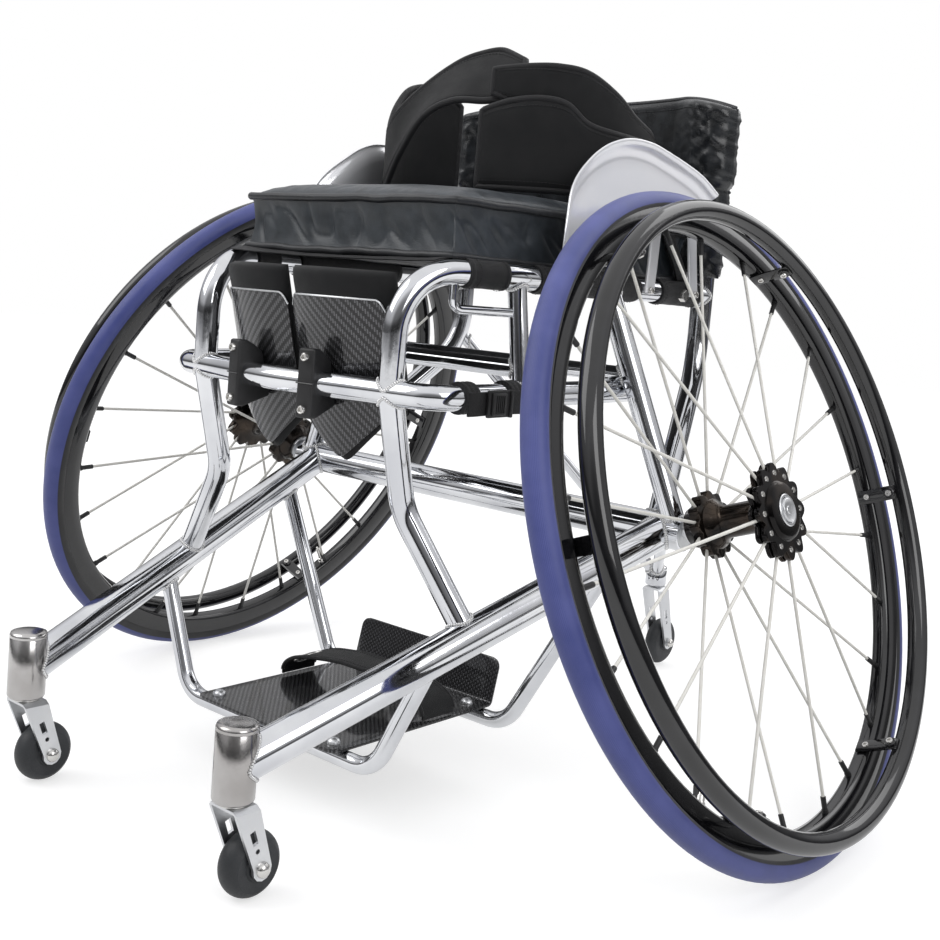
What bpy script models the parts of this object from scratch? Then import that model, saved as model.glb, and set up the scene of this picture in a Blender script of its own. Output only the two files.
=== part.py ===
"""A court sports wheelchair with a rigid tube frame, cambered wheels and a rear anti-tip caster.

Metres, +Z up. The front is -Y and the user's left is +X. Every place below is measured from the
wheel axle line (y = 0) on the ground (z = 0), and the root empty moves the whole chair so that
the origin lies on the ground under the middle of its length.
"""

from math import atan2, ceil, cos, pi, radians, sin, sqrt, tan

import bmesh
import bpy
from mathutils import Matrix, Vector

# Clearances
WELD_GAP = 0.0003
RUNNING_GAP = 0.0003
SOFT_GAP = 0.0006
ROUND_SIDES = 16

# Drive wheels
CAMBER = radians(20.0)
WHEEL_STANDS_OUT = 0.0555
TYRE_CENTRE_RADIUS = 0.2945
TYRE_SECTION_RADIUS = 0.0115
RIM_OUTER_RADIUS = TYRE_CENTRE_RADIUS - 0.0055
RIM_INNER_RADIUS = RIM_OUTER_RADIUS - 0.021
RIM_HALF_WIDTH = 0.0100
RIM_WALL = 0.0022
WHEEL_STEPS = 32
SPOKE_COUNT = 24
SPOKE_PHASE = radians(6.5)
SPOKE_RADIUS = 0.0013
SPOKE_RIM_OFFSET = 0.002

# Push rims
PUSH_RIM_RADIUS = RIM_INNER_RADIUS + 0.008
PUSH_RIM_TUBE_RADIUS = 0.0095
PUSH_RIM_OFFSET = 0.0367
TAB_COUNT = 6
TAB_WIDTH = 0.014
TAB_THICKNESS = 0.0030
TAB_INNER_OFFSET = -0.004

# Hubs, axles and camber plugs
AXLE_RADIUS = 0.00635
HUB_INNER_END = -0.050
HUB_OUTER_END = 0.0440
INNER_LUG_RADIUS = 0.031
OUTER_LUG_RADIUS = 0.041
DRUM_RADIUS = 0.0225
BARREL_RADIUS = 0.0150
INNER_FLANGE_OFFSET = -0.032
OUTER_FLANGE_OFFSET = 0.034
HUB_STEPS = 16
AXLE_INNER_END = -0.090
AXLE_HEAD_RADIUS = 0.0145
AXLE_HEAD_LENGTH = 0.0085
BUTTON_RADIUS = 0.0110
BUTTON_LENGTH = 0.0060
BUTTON_STANDS_OUT = 0.0015
PLUG_DEPTH = 0.040
PLUG_COLLAR_RADIUS = 0.0150
PLUG_NECK_WALL = 0.0015
PLUG_NECK_START = -0.076
PLUG_DROP = 0.0048

# Frame tubes
HEAVY_TUBE_RADIUS = 0.016
FRAME_TUBE_RADIUS = 0.011
LIGHT_TUBE_RADIUS = 0.008
POST_TUBE_RADIUS = 0.0085
ARM_TUBE_RADIUS = 0.007
ROD_RADIUS = 0.004
TUBE_WALL = 0.0015
HEAVY_SIDES = 12
FRAME_SIDES = 10
LIGHT_SIDES = 8
BEND_STEP = radians(24.0)

CAMBER_BAR_HALF = 0.2590
MAIN_TUBE_REAR_X = CAMBER_BAR_HALF - 0.0235
CASTER_X = 0.144
CASTER_Y = -0.427
MAIN_TUBE_FRONT_Z = 0.1065

RAIL_Z = 0.486
RAIL_FRONT_X = 0.122
RAIL_KINK = (0.155, -0.154)
RAIL_KINK_RADIUS = 0.15
RAIL_BEND_RADIUS = 0.055
KNEE_BAR_FRONT_Y = -0.2875
KNEE_BAR_CORNER = (0.1680, -0.2585)
KNEE_BAR_Z = 0.382
KNEE_BAR_REAR_Z = 0.388
KNEE_BAR_REAR_Y = 0.010
KNEE_BAR_CORNER_RADIUS = 0.030
KNEE_BAR_BOW_RADIUS = 0.150
UPRIGHT_BEND = (0.122, -0.240, 0.281)
UPRIGHT_BEND_RADIUS = 0.050
UPRIGHT_FOOT_Y = -0.220
EQUAL_TUBE_SETBACK = 0.0035
SEAT_POST_Y = -0.152
CROSS_TUBE_Z = 0.407
GUSSET_START_Y = -0.214
GUSSET_Z = 0.455
GUSSET_BEND_RADIUS = 0.008
STRUT_FOOT_X = CAMBER_BAR_HALF - 0.009
STRUT_TOP_Y = -0.015
STRUT_SETBACK = 0.006
REAR_CROSS_Z = 0.404
BACK_POST_X = 0.163
BACK_POST_Y = 0.157
BACK_POST_TOP = 0.680
BACK_POST_BEND_Z = 0.410
BACK_POST_BEND_RADIUS = 0.080
BACK_POST_FOOT_X = CAMBER_BAR_HALF - 0.032
ANTITIP_ARM_Z = 0.420
ANTITIP_Y = 0.397
ANTITIP_JOINT_Z = 0.124

# Front casters
CASTER_BARREL_RADIUS = 0.0165
CASTER_BARREL_BOTTOM = 0.081
CASTER_BARREL_TOP = 0.141
CASTER_CAP_CHAMFER = 0.0015
CASTER_WHEEL_RADIUS = 0.0265
CASTER_WHEEL_WIDTH = 0.024
CASTER_TRAIL = 0.020
STEM_RADIUS = 0.006
STEM_LENGTH = 0.046
FORK_TOP_GAP = 0.0025
FORK_PLATE = 0.0030
FORK_BEND = 0.0035
FORK_CROWN_HALF = 0.0120
FORK_TIP_RADIUS = 0.0090
FORK_SLOT = (0.0026, 0.0120)
FORK_HOLE_RADIUS = 0.0021
WHEEL_SIDE_GAP = 0.0010
CASTER_AXLE_RADIUS = 0.0040
CASTER_AXLE_HEAD_RADIUS = 0.0055
CASTER_AXLE_HEAD = 0.0025
CASTER_STEPS = 16

# Rear anti-tip caster
ANTITIP_HOUSING_RADIUS = 0.0135
ANTITIP_HOUSING_HALF = 0.0130
ANTITIP_WHEEL_RADIUS = 0.0300
ANTITIP_WHEEL_WIDTH = 0.018
ANTITIP_TRAIL = 0.026
ANTITIP_GROUND_GAP = 0.0020
ANTITIP_STEM_LENGTH = 0.018

# Footrest
FRONT_HOOP_TOP_Y = -0.252
FOOT_HOOP_Z = 0.0565
FRONT_HOOP_CORNER = (0.127, -0.257, FOOT_HOOP_Z)
REAR_HOOP_TOP_Y = -0.060
REAR_HOOP_CORNER = (0.122, -0.068, FOOT_HOOP_Z)
HOOP_BEND_RADIUS = 0.035
PLATE_HALF_WIDTH = 0.095
PLATE_FRONT_Y = -0.275
PLATE_REAR_Y = -0.058
PLATE_THICKNESS = 0.0025
FLAP_HEIGHT = 0.046
FLAP_LEAN = 0.010
PLATE_CORNER = 0.010
FOOT_STRAP_Y = -0.140
FOOT_STRAP_WIDTH = 0.045
FOOT_STRAP_HEIGHT = 0.030
FOOT_STRAP_THICKNESS = 0.0025
FOOT_STRAP_INSET = 0.004

# Knee supports
KNEE_CLAMP_X = 0.045
KNEE_CLAMP_WIDTH = 0.012
KNEE_CLAMP_HALF_HEIGHT = 0.030
KNEE_CLAMP_FRONT = 0.0150
KNEE_CLAMP_SEAT = 0.0060
SHELL_ARC_RADIUS = 0.0965
SHELL_HALF_ANGLE = radians(31.0)
SHELL_CENTRE_X = 0.0545
SHELL_YAW = radians(10.0)
SHELL_TOP_Z = 0.457
SHELL_TIP_Z = 0.317
SHELL_LEAN_Y = -0.020
SHELL_BAR_GAP = 0.0040
SHELL_TIP_AT = -0.15
SHELL_EDGE_RISE = 0.045
SHELL_WALL = 0.0016
PAD_THICKNESS = 0.012
PAD_TOP_RISE = 0.018
PAD_OVERHANG = 1.12
PAD_LOW_DROP = 0.006

# Side guards
GUARD_FRONT_X = 0.1706
GUARD_LEAN = tan(radians(8.5))
GUARD_TOE = tan(radians(8.2))
GUARD_TOE_START = -0.060
GUARD_THICKNESS = 0.0016
GUARD_RIM = (
    (-0.120, 0.492),
    (-0.117, 0.509),
    (-0.108, 0.544),
    (-0.100, 0.568),
    (-0.086, 0.586),
    (-0.061, 0.605),
    (-0.038, 0.618),
    (-0.010, 0.626),
    (0.021, 0.626),
    (0.049, 0.6195),
    (0.079, 0.6105),
    (0.100, 0.602),
    (0.121, 0.588),
)
GUARD_FOOT = (
    (-0.095, 0.491),
    (-0.085, 0.494),
    (-0.070, 0.498),
    (-0.055, 0.501),
    (-0.040, 0.504),
    (-0.025, 0.507),
    (-0.010, 0.513),
    (0.010, 0.524),
    (0.030, 0.538),
    (0.050, 0.549),
    (0.070, 0.556),
    (0.088, 0.561),
    (0.103, 0.566),
)
GUARD_LIP = ((0.000, 0.0085), (0.006, 0.0060), (0.013, 0.0020), (0.020, 0.0000))
GUARD_LEGS = ((0.036, 0.0116, 0.034, 0.552), (0.116, 0.0126, 0.088, 0.572))
GUARD_LEG_WIDTH = 0.016
GUARD_LEG_THICKNESS = 0.0026
GUARD_LEG_RISE = 0.022

# Seat, back and belt
SLING_THICKNESS = 0.0010
SLEEVE_SPANS = ((-0.205, -0.166), (-0.130, 0.026), (0.064, 0.138))
CUSHION_FRONT_Y = -0.218
CUSHION_REAR_Y = 0.134
CUSHION_FRONT_HALF = 0.136
CUSHION_REAR_HALF = 0.157
CUSHION_SEAM_Z = 0.546
CUSHION_CROWN = 0.016
CUSHION_DRAW_IN = 0.006
BACK_TOP_Z = 0.695
BACK_BOTTOM_Z = 0.505
BACK_SAG = 0.035
BACK_PANEL = 0.014
BACK_UPPER_ROLL = 0.021
BACK_LOWER_ROLL = 0.017
BACK_ROLL_BLEND = 0.060
BACK_FOLD_Z = 0.600
BACK_FOLD = 0.010
BELT_HALF_WIDTH = 0.148
BELT_HALF_DEPTH = 0.118
BELT_CENTRE_Y = 0.030
BELT_THICKNESS = 0.008
BELT_SEAT_Z = 0.5705
BELT_LEFT_PAD = (
    (-34, 0.002, 0.000, 0.054, 1.0),
    (-10, 0.002, 0.000, 0.058, 1.0),
    (12, 0.003, 0.000, 0.060, 1.0),
    (30, 0.005, 0.000, 0.066, 1.0),
    (40, 0.006, 0.000, 0.083, 1.0),
    (50, 0.006, 0.000, 0.087, 1.0),
    (62, 0.006, 0.000, 0.083, 1.0),
    (72, 0.006, 0.000, 0.074, 1.0),
)
BELT_LEFT_FLAP = (
    (-38, -0.002, 0.030, 0.066, 1.0),
    (-18, -0.003, 0.034, 0.071, 1.0),
    (0, -0.005, 0.040, 0.080, 1.0),
    (14, -0.006, 0.046, 0.098, 1.0),
    (30, -0.006, 0.052, 0.115, 1.0),
    (42, -0.006, 0.060, 0.119, 1.0),
    (54, -0.006, 0.078, 0.118, 1.0),
    (70, -0.006, 0.091, 0.114, 1.0),
)
BELT_RIGHT_WING = (
    (58, -0.010, 0.088, 0.130, 0.72),
    (74, -0.008, 0.084, 0.142, 0.60),
    (88, -0.004, 0.084, 0.140, 0.60),
    (102, 0.000, 0.070, 0.131, 0.66),
    (118, 0.000, 0.036, 0.110, 0.80),
    (132, 0.000, 0.010, 0.084, 0.95),
    (144, 0.000, 0.004, 0.070, 1.0),
    (158, 0.000, 0.003, 0.096, 1.0),
    (172, 0.000, 0.003, 0.119, 1.0),
    (186, 0.000, 0.003, 0.128, 1.0),
    (198, 0.000, 0.003, 0.126, 1.0),
    (208, 0.000, 0.006, 0.112, 1.0),
)
BELT_STRAP_WIDTH = 0.022
BELT_STRAP_THICKNESS = 0.0024
BELT_STRAP_FOOT_X = 0.1610
BELT_STRAP_FOOT_Y = 0.116
BELT_STRAP_TOP = (0.1500, 0.060, 0.600)

# Knee strap
KNEE_STRAP_FRONT_Y = -0.236
KNEE_STRAP_REAR_Y = -0.163
KNEE_STRAP_HEIGHT = 0.020
KNEE_STRAP_THICKNESS = 0.0024
KNEE_BUCKLE = (0.007, 0.030, 0.024)
KNEE_LOOP_LENGTH = 0.016

# Places that follow from the sizes above
WHEEL_TRACK_HALF = CAMBER_BAR_HALF + WHEEL_STANDS_OUT
WHEEL_Z = TYRE_CENTRE_RADIUS * cos(CAMBER) + TYRE_SECTION_RADIUS
CAMBER_BAR_Z = WHEEL_Z - WHEEL_STANDS_OUT * tan(CAMBER) - PLUG_DROP
LENGTH_FRONT = CASTER_Y - CASTER_BARREL_RADIUS
LENGTH_REAR = ANTITIP_Y + ANTITIP_TRAIL + ANTITIP_WHEEL_RADIUS
MIDDLE_Y = (LENGTH_FRONT + LENGTH_REAR) / 2


def clear_scene():
    for obj in list(bpy.data.objects):
        bpy.data.objects.remove(obj, do_unlink=True)


def new_collection(name):
    collection = bpy.data.collections.new(name)
    bpy.context.scene.collection.children.link(collection)
    return collection


clear_scene()
CHAIR = new_collection("sports_wheelchair")
CUTTERS = new_collection("cutters")
ROOT = bpy.data.objects.new("wheelchair_origin", None)
ROOT.location = (0, -MIDDLE_Y, 0)
CHAIR.objects.link(ROOT)


def material(name, colour, roughness, metallic):
    made = bpy.data.materials.new(name)
    made.use_nodes = True
    shader = made.node_tree.nodes["Principled BSDF"]
    shader.inputs["Base Color"].default_value = (*colour, 1)
    shader.inputs["Roughness"].default_value = roughness
    shader.inputs["Metallic"].default_value = metallic
    return made


POLISHED = material("polished_aluminium", (0.83, 0.84, 0.87), 0.12, 1.0)
SATIN = material("satin_aluminium", (0.72, 0.73, 0.74), 0.35, 1.0)
GLOSS_BLACK = material("gloss_black", (0.02, 0.02, 0.022), 0.12, 0.2)
MATT_BLACK = material("matt_black", (0.025, 0.025, 0.027), 0.6, 0.0)
TYRE_BLUE = material("lavender_blue_rubber", (0.16, 0.18, 0.48), 0.7, 0.0)
CASTER_RUBBER = material("dark_grey_urethane", (0.05, 0.055, 0.06), 0.55, 0.0)
CARBON = material("carbon_fibre", (0.03, 0.03, 0.032), 0.25, 0.1)
VINYL = material("black_vinyl", (0.03, 0.035, 0.042), 0.45, 0.0)
NEOPRENE = material("black_neoprene", (0.015, 0.015, 0.016), 0.8, 0.0)


def empty(name, location, parent=ROOT, rotation=None):
    holder = bpy.data.objects.new(name, None)
    holder.empty_display_size = 0.03
    holder.parent = parent
    holder.location = location
    if rotation is not None:
        holder.rotation_euler = rotation.to_euler()
    CHAIR.objects.link(holder)
    return holder


def piece(name, mesh, finish, location=(0, 0, 0), parent=ROOT, smooth=radians(40)):
    obj = bpy.data.objects.new(name, mesh)
    mesh.materials.clear()
    mesh.materials.append(finish)
    mesh.shade_smooth()
    mesh.set_sharp_from_angle(angle=smooth)
    obj.location = location
    obj.parent = parent
    CHAIR.objects.link(obj)
    return obj


def helper(name, mesh, location=(0, 0, 0), parent=ROOT):
    obj = bpy.data.objects.new(name, mesh)
    obj.location = location
    obj.parent = parent
    obj.hide_render = True
    obj.display_type = "WIRE"
    CUTTERS.objects.link(obj)
    return obj


def boolean(obj, other, operation):
    modifier = obj.modifiers.new(operation.lower() + " " + other.name, "BOOLEAN")
    modifier.object = other
    modifier.operation = operation
    modifier.solver = "EXACT"


def cut(obj, *cutters):
    for cutter in cutters:
        boolean(obj, cutter, "DIFFERENCE")


def join(obj, *others):
    for other in others:
        boolean(obj, other, "UNION")


def solidify(obj, thickness, offset=-1.0):
    modifier = obj.modifiers.new("wall", "SOLIDIFY")
    modifier.thickness = thickness
    modifier.offset = offset
    modifier.use_even_offset = True


def mirror_x(points, side):
    return [Vector((side * p[0], p[1], p[2])) for p in points]


def rounded_path(corners, radii):
    """The corner points joined by straight runs, with each inner corner rounded by its radius."""
    corners = [Vector(p) for p in corners]
    points = [corners[0]]
    for before, corner, after, radius in zip(corners, corners[1:], corners[2:], radii):
        back = (before - corner).normalized()
        ahead = (after - corner).normalized()
        turn = pi - back.angle(ahead)
        reach = radius * tan(turn / 2)
        centre = corner + (back + ahead).normalized() * radius / cos(turn / 2)
        start = corner + back * reach - centre
        end = corner + ahead * reach - centre
        axis = start.cross(end)
        steps = max(2, ceil(turn / BEND_STEP))
        for step in range(steps + 1):
            points.append(centre + Matrix.Rotation(turn * step / steps, 3, axis) @ start)
    points.append(corners[-1])
    return points


def sweep_mesh(name, points, radius, sides, capped=True):
    """A round tube along the points, made as a bevelled curve and turned into a mesh."""
    curve = bpy.data.curves.new(name, "CURVE")
    curve.dimensions = "3D"
    curve.bevel_depth = radius
    curve.bevel_resolution = (sides - 4) // 2
    curve.use_fill_caps = capped
    spline = curve.splines.new("POLY")
    spline.points.add(len(points) - 1)
    for target, point in zip(spline.points, points):
        target.co = (*point, 1)
    holder = bpy.data.objects.new(name, curve)
    CUTTERS.objects.link(holder)
    depsgraph = bpy.context.evaluated_depsgraph_get()
    mesh = bpy.data.meshes.new_from_object(holder.evaluated_get(depsgraph))
    bpy.data.objects.remove(holder, do_unlink=True)
    bpy.data.curves.remove(curve)
    mesh.name = name
    shape = bmesh.new()
    shape.from_mesh(mesh)
    bmesh.ops.remove_doubles(shape, verts=shape.verts, dist=0.00001)
    bmesh.ops.recalc_face_normals(shape, faces=shape.faces)
    shape.to_mesh(mesh)
    shape.free()
    return mesh


class Tube:
    """One frame tube: its centre line, radius and wall, with the cutter that copes its neighbours."""

    def __init__(self, name, points, radius, sides, wall=TUBE_WALL, finish=POLISHED):
        self.name = name
        self.radius = radius
        self.sides = sides
        self.start = Vector(points[0])
        self.local = [Vector(p) - self.start for p in points]
        self.coping = None
        mesh = sweep_mesh(name, self.local, radius, sides, capped=wall is None)
        self.obj = piece(name, mesh, finish, self.start)
        if wall is not None:
            solidify(self.obj, wall)

    def cutter(self):
        if self.coping is None:
            points = list(self.local)
            points[0] = points[0] + (points[0] - points[1]).normalized() * WELD_GAP
            points[-1] = points[-1] + (points[-1] - points[-2]).normalized() * WELD_GAP
            mesh = sweep_mesh(self.name + "_cutter", points, self.radius + WELD_GAP, self.sides)
            self.coping = helper(self.name + "_cutter", mesh, self.start)
        return self.coping

    def coped_by(self, *others):
        cut(self.obj, *[other.cutter() for other in others])


def mesh_from(name, shape):
    mesh = bpy.data.meshes.new(name)
    bmesh.ops.recalc_face_normals(shape, faces=shape.faces)
    shape.to_mesh(mesh)
    shape.free()
    return mesh


def box_mesh(name, size, centre=(0, 0, 0)):
    shape = bmesh.new()
    bmesh.ops.create_cube(shape, size=1)
    bmesh.ops.scale(shape, vec=size, verts=shape.verts)
    bmesh.ops.translate(shape, vec=centre, verts=shape.verts)
    return mesh_from(name, shape)


def rod_mesh(name, start, end, radius, sides):
    """A plain capped cylinder from start to end."""
    start, end = Vector(start), Vector(end)
    span = end - start
    turn = span.to_track_quat("Z", "X").to_matrix().to_4x4()
    shape = bmesh.new()
    bmesh.ops.create_cone(
        shape,
        cap_ends=True,
        segments=sides,
        radius1=radius,
        radius2=radius,
        depth=span.length,
        matrix=Matrix.Translation((start + end) / 2) @ turn,
    )
    return mesh_from(name, shape)


def turned(name, profile, steps, finish, closed, parent, location=(0, 0, 0)):
    """A profile of (radius, height) pairs, down its outer side, turned about the local Z axis."""
    mesh = bpy.data.meshes.new(name)
    count = len(profile)
    edges = [(i, i + 1) for i in range(count - 1)]
    if closed:
        edges.append((count - 1, 0))
    mesh.from_pydata([(r, 0, h) for r, h in profile], edges, [])
    obj = piece(name, mesh, finish, location, parent)
    screw = obj.modifiers.new("turn", "SCREW")
    screw.axis = "Z"
    screw.angle = 2 * pi
    screw.steps = steps
    screw.render_steps = steps
    screw.use_merge_vertices = not closed
    screw.merge_threshold = 0.00001
    screw.use_smooth_shade = True
    return obj


def prism_mesh(name, outline, thickness, axis):
    """A flat outline of (across, up) pairs, made as thick as asked along X or Y about its middle."""
    shape = bmesh.new()
    if axis == "X":
        verts = [shape.verts.new((-thickness / 2, across, up)) for across, up in outline]
        step = Vector((thickness, 0, 0))
    else:
        verts = [shape.verts.new((across, -thickness / 2, up)) for across, up in outline]
        step = Vector((0, thickness, 0))
    shape.faces.new(verts)
    made = bmesh.ops.extrude_face_region(shape, geom=shape.faces[:])
    moved = [item for item in made["geom"] if isinstance(item, bmesh.types.BMVert)]
    bmesh.ops.translate(shape, vec=step, verts=moved)
    return mesh_from(name, shape)


def surface_mesh(name, rows):
    """An open sheet through a grid of points."""
    shape = bmesh.new()
    grid = [[shape.verts.new(p) for p in row] for row in rows]
    for near, far in zip(grid, grid[1:]):
        for a, b, c, d in zip(near, near[1:], far[1:], far):
            shape.faces.new((a, b, c, d))
    mesh = bpy.data.meshes.new(name)
    shape.to_mesh(mesh)
    shape.free()
    return mesh


def band_mesh(name, sections):
    """A closed solid lofted through sections of equally many points."""
    shape = bmesh.new()
    rings = [[shape.verts.new(p) for p in section] for section in sections]
    count = len(rings[0])
    for near, far in zip(rings, rings[1:]):
        for i in range(count):
            j = (i + 1) % count
            shape.faces.new((near[i], near[j], far[j], far[i]))
    shape.faces.new(rings[0])
    shape.faces.new(list(reversed(rings[-1])))
    return mesh_from(name, shape)


def grid_mesh(name, counts, place):
    """A box cut into a grid whose points, from -1 to 1 on each axis, are placed by a function."""
    shape = bmesh.new()
    bmesh.ops.create_cube(shape, size=2)
    for axis, count in enumerate(counts):
        normal = Vector([1 if i == axis else 0 for i in range(3)])
        for step in range(1, count):
            parts = shape.verts[:] + shape.edges[:] + shape.faces[:]
            spot = normal * (2 * step / count - 1)
            bmesh.ops.bisect_plane(shape, geom=parts, plane_co=spot, plane_no=normal)
    for vert in shape.verts:
        vert.co = place(*vert.co)
    return mesh_from(name, shape)


def soften(obj):
    modifier = obj.modifiers.new("soft", "SUBSURF")
    modifier.levels = 1
    modifier.render_levels = 1


def on_line(start, end, axis, value):
    """The point of the line through start and end whose coordinate on the axis has this value."""
    start, end = Vector(start), Vector(end)
    share = (value - start[axis]) / (end[axis] - start[axis])
    return start.lerp(end, share)


def main_tube_ends():
    return (CASTER_X, CASTER_Y, MAIN_TUBE_FRONT_Z), (MAIN_TUBE_REAR_X, 0, CAMBER_BAR_Z)


def strut_ends():
    return (STRUT_FOOT_X, 0, CAMBER_BAR_Z), (rail_x(STRUT_TOP_Y), STRUT_TOP_Y, RAIL_Z)


def rail_x(y):
    kink_x, kink_y = RAIL_KINK
    return kink_x + (BACK_POST_X - kink_x) * (y - kink_y) / (BACK_POST_Y - kink_y)


def knee_bar_rear_x():
    """The side run lies against the strut's inner side, one weld gap clear."""
    foot, top = strut_ends()
    crossing = on_line(foot, top, 2, KNEE_BAR_REAR_Z)
    run = Vector(top) - Vector(foot)
    apart = 2 * FRAME_TUBE_RADIUS + WELD_GAP
    return crossing.x - apart * run.length / run.z


def knee_bar_point(x):
    """The knee bar's centre line in front, which runs straight from the middle to the corner."""
    corner_x, corner_y = KNEE_BAR_CORNER
    share = abs(x) / corner_x
    return Vector((x, KNEE_BAR_FRONT_Y + (corner_y - KNEE_BAR_FRONT_Y) * share, KNEE_BAR_Z))


def knee_bar_side(y):
    corner = (*KNEE_BAR_CORNER, KNEE_BAR_Z)
    rear = (knee_bar_rear_x(), KNEE_BAR_REAR_Y, KNEE_BAR_REAR_Z)
    return on_line(corner, rear, 1, y)


def rail_path(side):
    joint = knee_bar_point(RAIL_FRONT_X)
    corners = (
        joint,
        (joint.x, joint.y, RAIL_Z),
        (*RAIL_KINK, RAIL_Z),
        (BACK_POST_X, BACK_POST_Y, RAIL_Z),
    )
    return rounded_path(mirror_x(corners, side), (RAIL_BEND_RADIUS, RAIL_KINK_RADIUS))


def build_frame(side_tubes):
    """The welded frame: the tubes that cross the chair, then the ones on each side."""
    bar = Tube(
        "camber_bar",
        [Vector((-CAMBER_BAR_HALF, 0, CAMBER_BAR_Z)), Vector((CAMBER_BAR_HALF, 0, CAMBER_BAR_Z))],
        HEAVY_TUBE_RADIUS,
        HEAVY_SIDES,
    )
    corner = Vector((*KNEE_BAR_CORNER, KNEE_BAR_Z))
    rear = Vector((knee_bar_rear_x(), KNEE_BAR_REAR_Y, KNEE_BAR_REAR_Z))
    half = [rear, corner, Vector((0, KNEE_BAR_FRONT_Y, KNEE_BAR_Z))]
    knee_path = rounded_path(
        half + mirror_x(reversed(half[:-1]), -1),
        (KNEE_BAR_CORNER_RADIUS, KNEE_BAR_BOW_RADIUS, KNEE_BAR_CORNER_RADIUS),
    )
    knee = Tube("knee_bar", knee_path, FRAME_TUBE_RADIUS, FRAME_SIDES)
    housing = build_antitip_housing()
    for name, side in (("left", 1), ("right", -1)):
        side_tubes[name] = build_side(name, side, bar, knee, housing)
    sides = list(side_tubes.values())
    build_cross_tubes(knee, sides)
    build_hoops(sides)
    return knee


def build_side(name, side, bar, knee, housing):
    """The tubes on one side of the frame, each coped where it meets an earlier one."""
    tubes = {}
    barrel = build_caster_barrel(name, side)
    front, back = main_tube_ends()
    rear_end = on_line(front, back, 1, -EQUAL_TUBE_SETBACK)
    main = Tube(
        name + "_main_tube", mirror_x((front, rear_end), side), HEAVY_TUBE_RADIUS, HEAVY_SIDES
    )
    main.coped_by(bar)
    cut(main.obj, barrel)
    rail = Tube(name + "_seat_rail", rail_path(side), FRAME_TUBE_RADIUS, FRAME_SIDES)
    rail.coped_by(knee)
    upright_path = rounded_path(
        mirror_x(
            (
                on_line(knee_bar_point(RAIL_FRONT_X), UPRIGHT_BEND, 2, KNEE_BAR_Z - EQUAL_TUBE_SETBACK),
                UPRIGHT_BEND,
                on_line(front, back, 1, UPRIGHT_FOOT_Y),
            ),
            side,
        ),
        (UPRIGHT_BEND_RADIUS,),
    )
    upright = Tube(name + "_lower_upright", upright_path, FRAME_TUBE_RADIUS, FRAME_SIDES)
    upright.coped_by(knee, main)
    foot, top = strut_ends()
    foot = on_line(foot, top, 2, CAMBER_BAR_Z + STRUT_SETBACK)
    strut_path = mirror_x((foot, top), side)
    strut = Tube(name + "_diagonal_strut", strut_path, FRAME_TUBE_RADIUS, FRAME_SIDES)
    strut.coped_by(bar, main, rail)
    post_path = rounded_path(
        mirror_x(
            (
                (BACK_POST_X, BACK_POST_Y, BACK_POST_TOP),
                (BACK_POST_X, BACK_POST_Y, BACK_POST_BEND_Z),
                (BACK_POST_FOOT_X, 0, CAMBER_BAR_Z),
            ),
            side,
        ),
        (BACK_POST_BEND_RADIUS,),
    )
    post = Tube(name + "_back_post", post_path, FRAME_TUBE_RADIUS, FRAME_SIDES)
    post.coped_by(bar)
    rail.coped_by(post)
    arm = Tube(
        name + "_antitip_arm",
        mirror_x(
            ((BACK_POST_X, BACK_POST_Y, ANTITIP_ARM_Z), (0, ANTITIP_Y, ANTITIP_JOINT_Z)), side
        ),
        ARM_TUBE_RADIUS,
        LIGHT_SIDES,
    )
    arm.coped_by(post)
    cut(arm.obj, housing)
    tubes.update(main=main, rail=rail, strut=strut, post=post)
    tubes["seat_post"] = build_seat_post(name, side, rail, knee)
    return tubes


def seat_post_ends():
    return (rail_x(SEAT_POST_Y), SEAT_POST_Y, RAIL_Z), knee_bar_side(SEAT_POST_Y)


def build_seat_post(name, side, rail, knee):
    """A short post from rail to knee bar, with the thin bent gusset rod welded to it."""
    top, foot = seat_post_ends()
    post = Tube(
        name + "_seat_post", mirror_x((top, foot), side), POST_TUBE_RADIUS, FRAME_SIDES, wall=None
    )
    share = (GUSSET_START_Y - RAIL_KINK[1]) / (knee_bar_point(RAIL_FRONT_X).y - RAIL_KINK[1])
    start_x = RAIL_KINK[0] + (RAIL_FRONT_X - RAIL_KINK[0]) * share
    drop_top = (start_x, GUSSET_START_Y, RAIL_Z - FRAME_TUBE_RADIUS)
    corners = (drop_top, (start_x, GUSSET_START_Y, GUSSET_Z), on_line(top, foot, 2, GUSSET_Z))
    path = rounded_path(mirror_x(corners, side), (GUSSET_BEND_RADIUS,))
    rod = sweep_mesh(name + "_gusset_rod", path, ROD_RADIUS, LIGHT_SIDES)
    join(post.obj, helper(name + "_gusset_rod", rod))
    post.coped_by(rail, knee)
    return post


def build_cross_tubes(knee, sides):
    top, foot = seat_post_ends()
    end = on_line(top, foot, 2, CROSS_TUBE_Z)
    path = mirror_x((end,), 1) + mirror_x((end,), -1)
    front = Tube("front_cross_tube", path, LIGHT_TUBE_RADIUS, LIGHT_SIDES)
    front.coped_by(*[tubes["seat_post"] for tubes in sides])
    end = on_line(*strut_ends(), 2, REAR_CROSS_Z)
    path = mirror_x((end,), 1) + mirror_x((end,), -1)
    rear = Tube("rear_cross_tube", path, LIGHT_TUBE_RADIUS, LIGHT_SIDES)
    rear.coped_by(knee, *[tubes["strut"] for tubes in sides])


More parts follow.
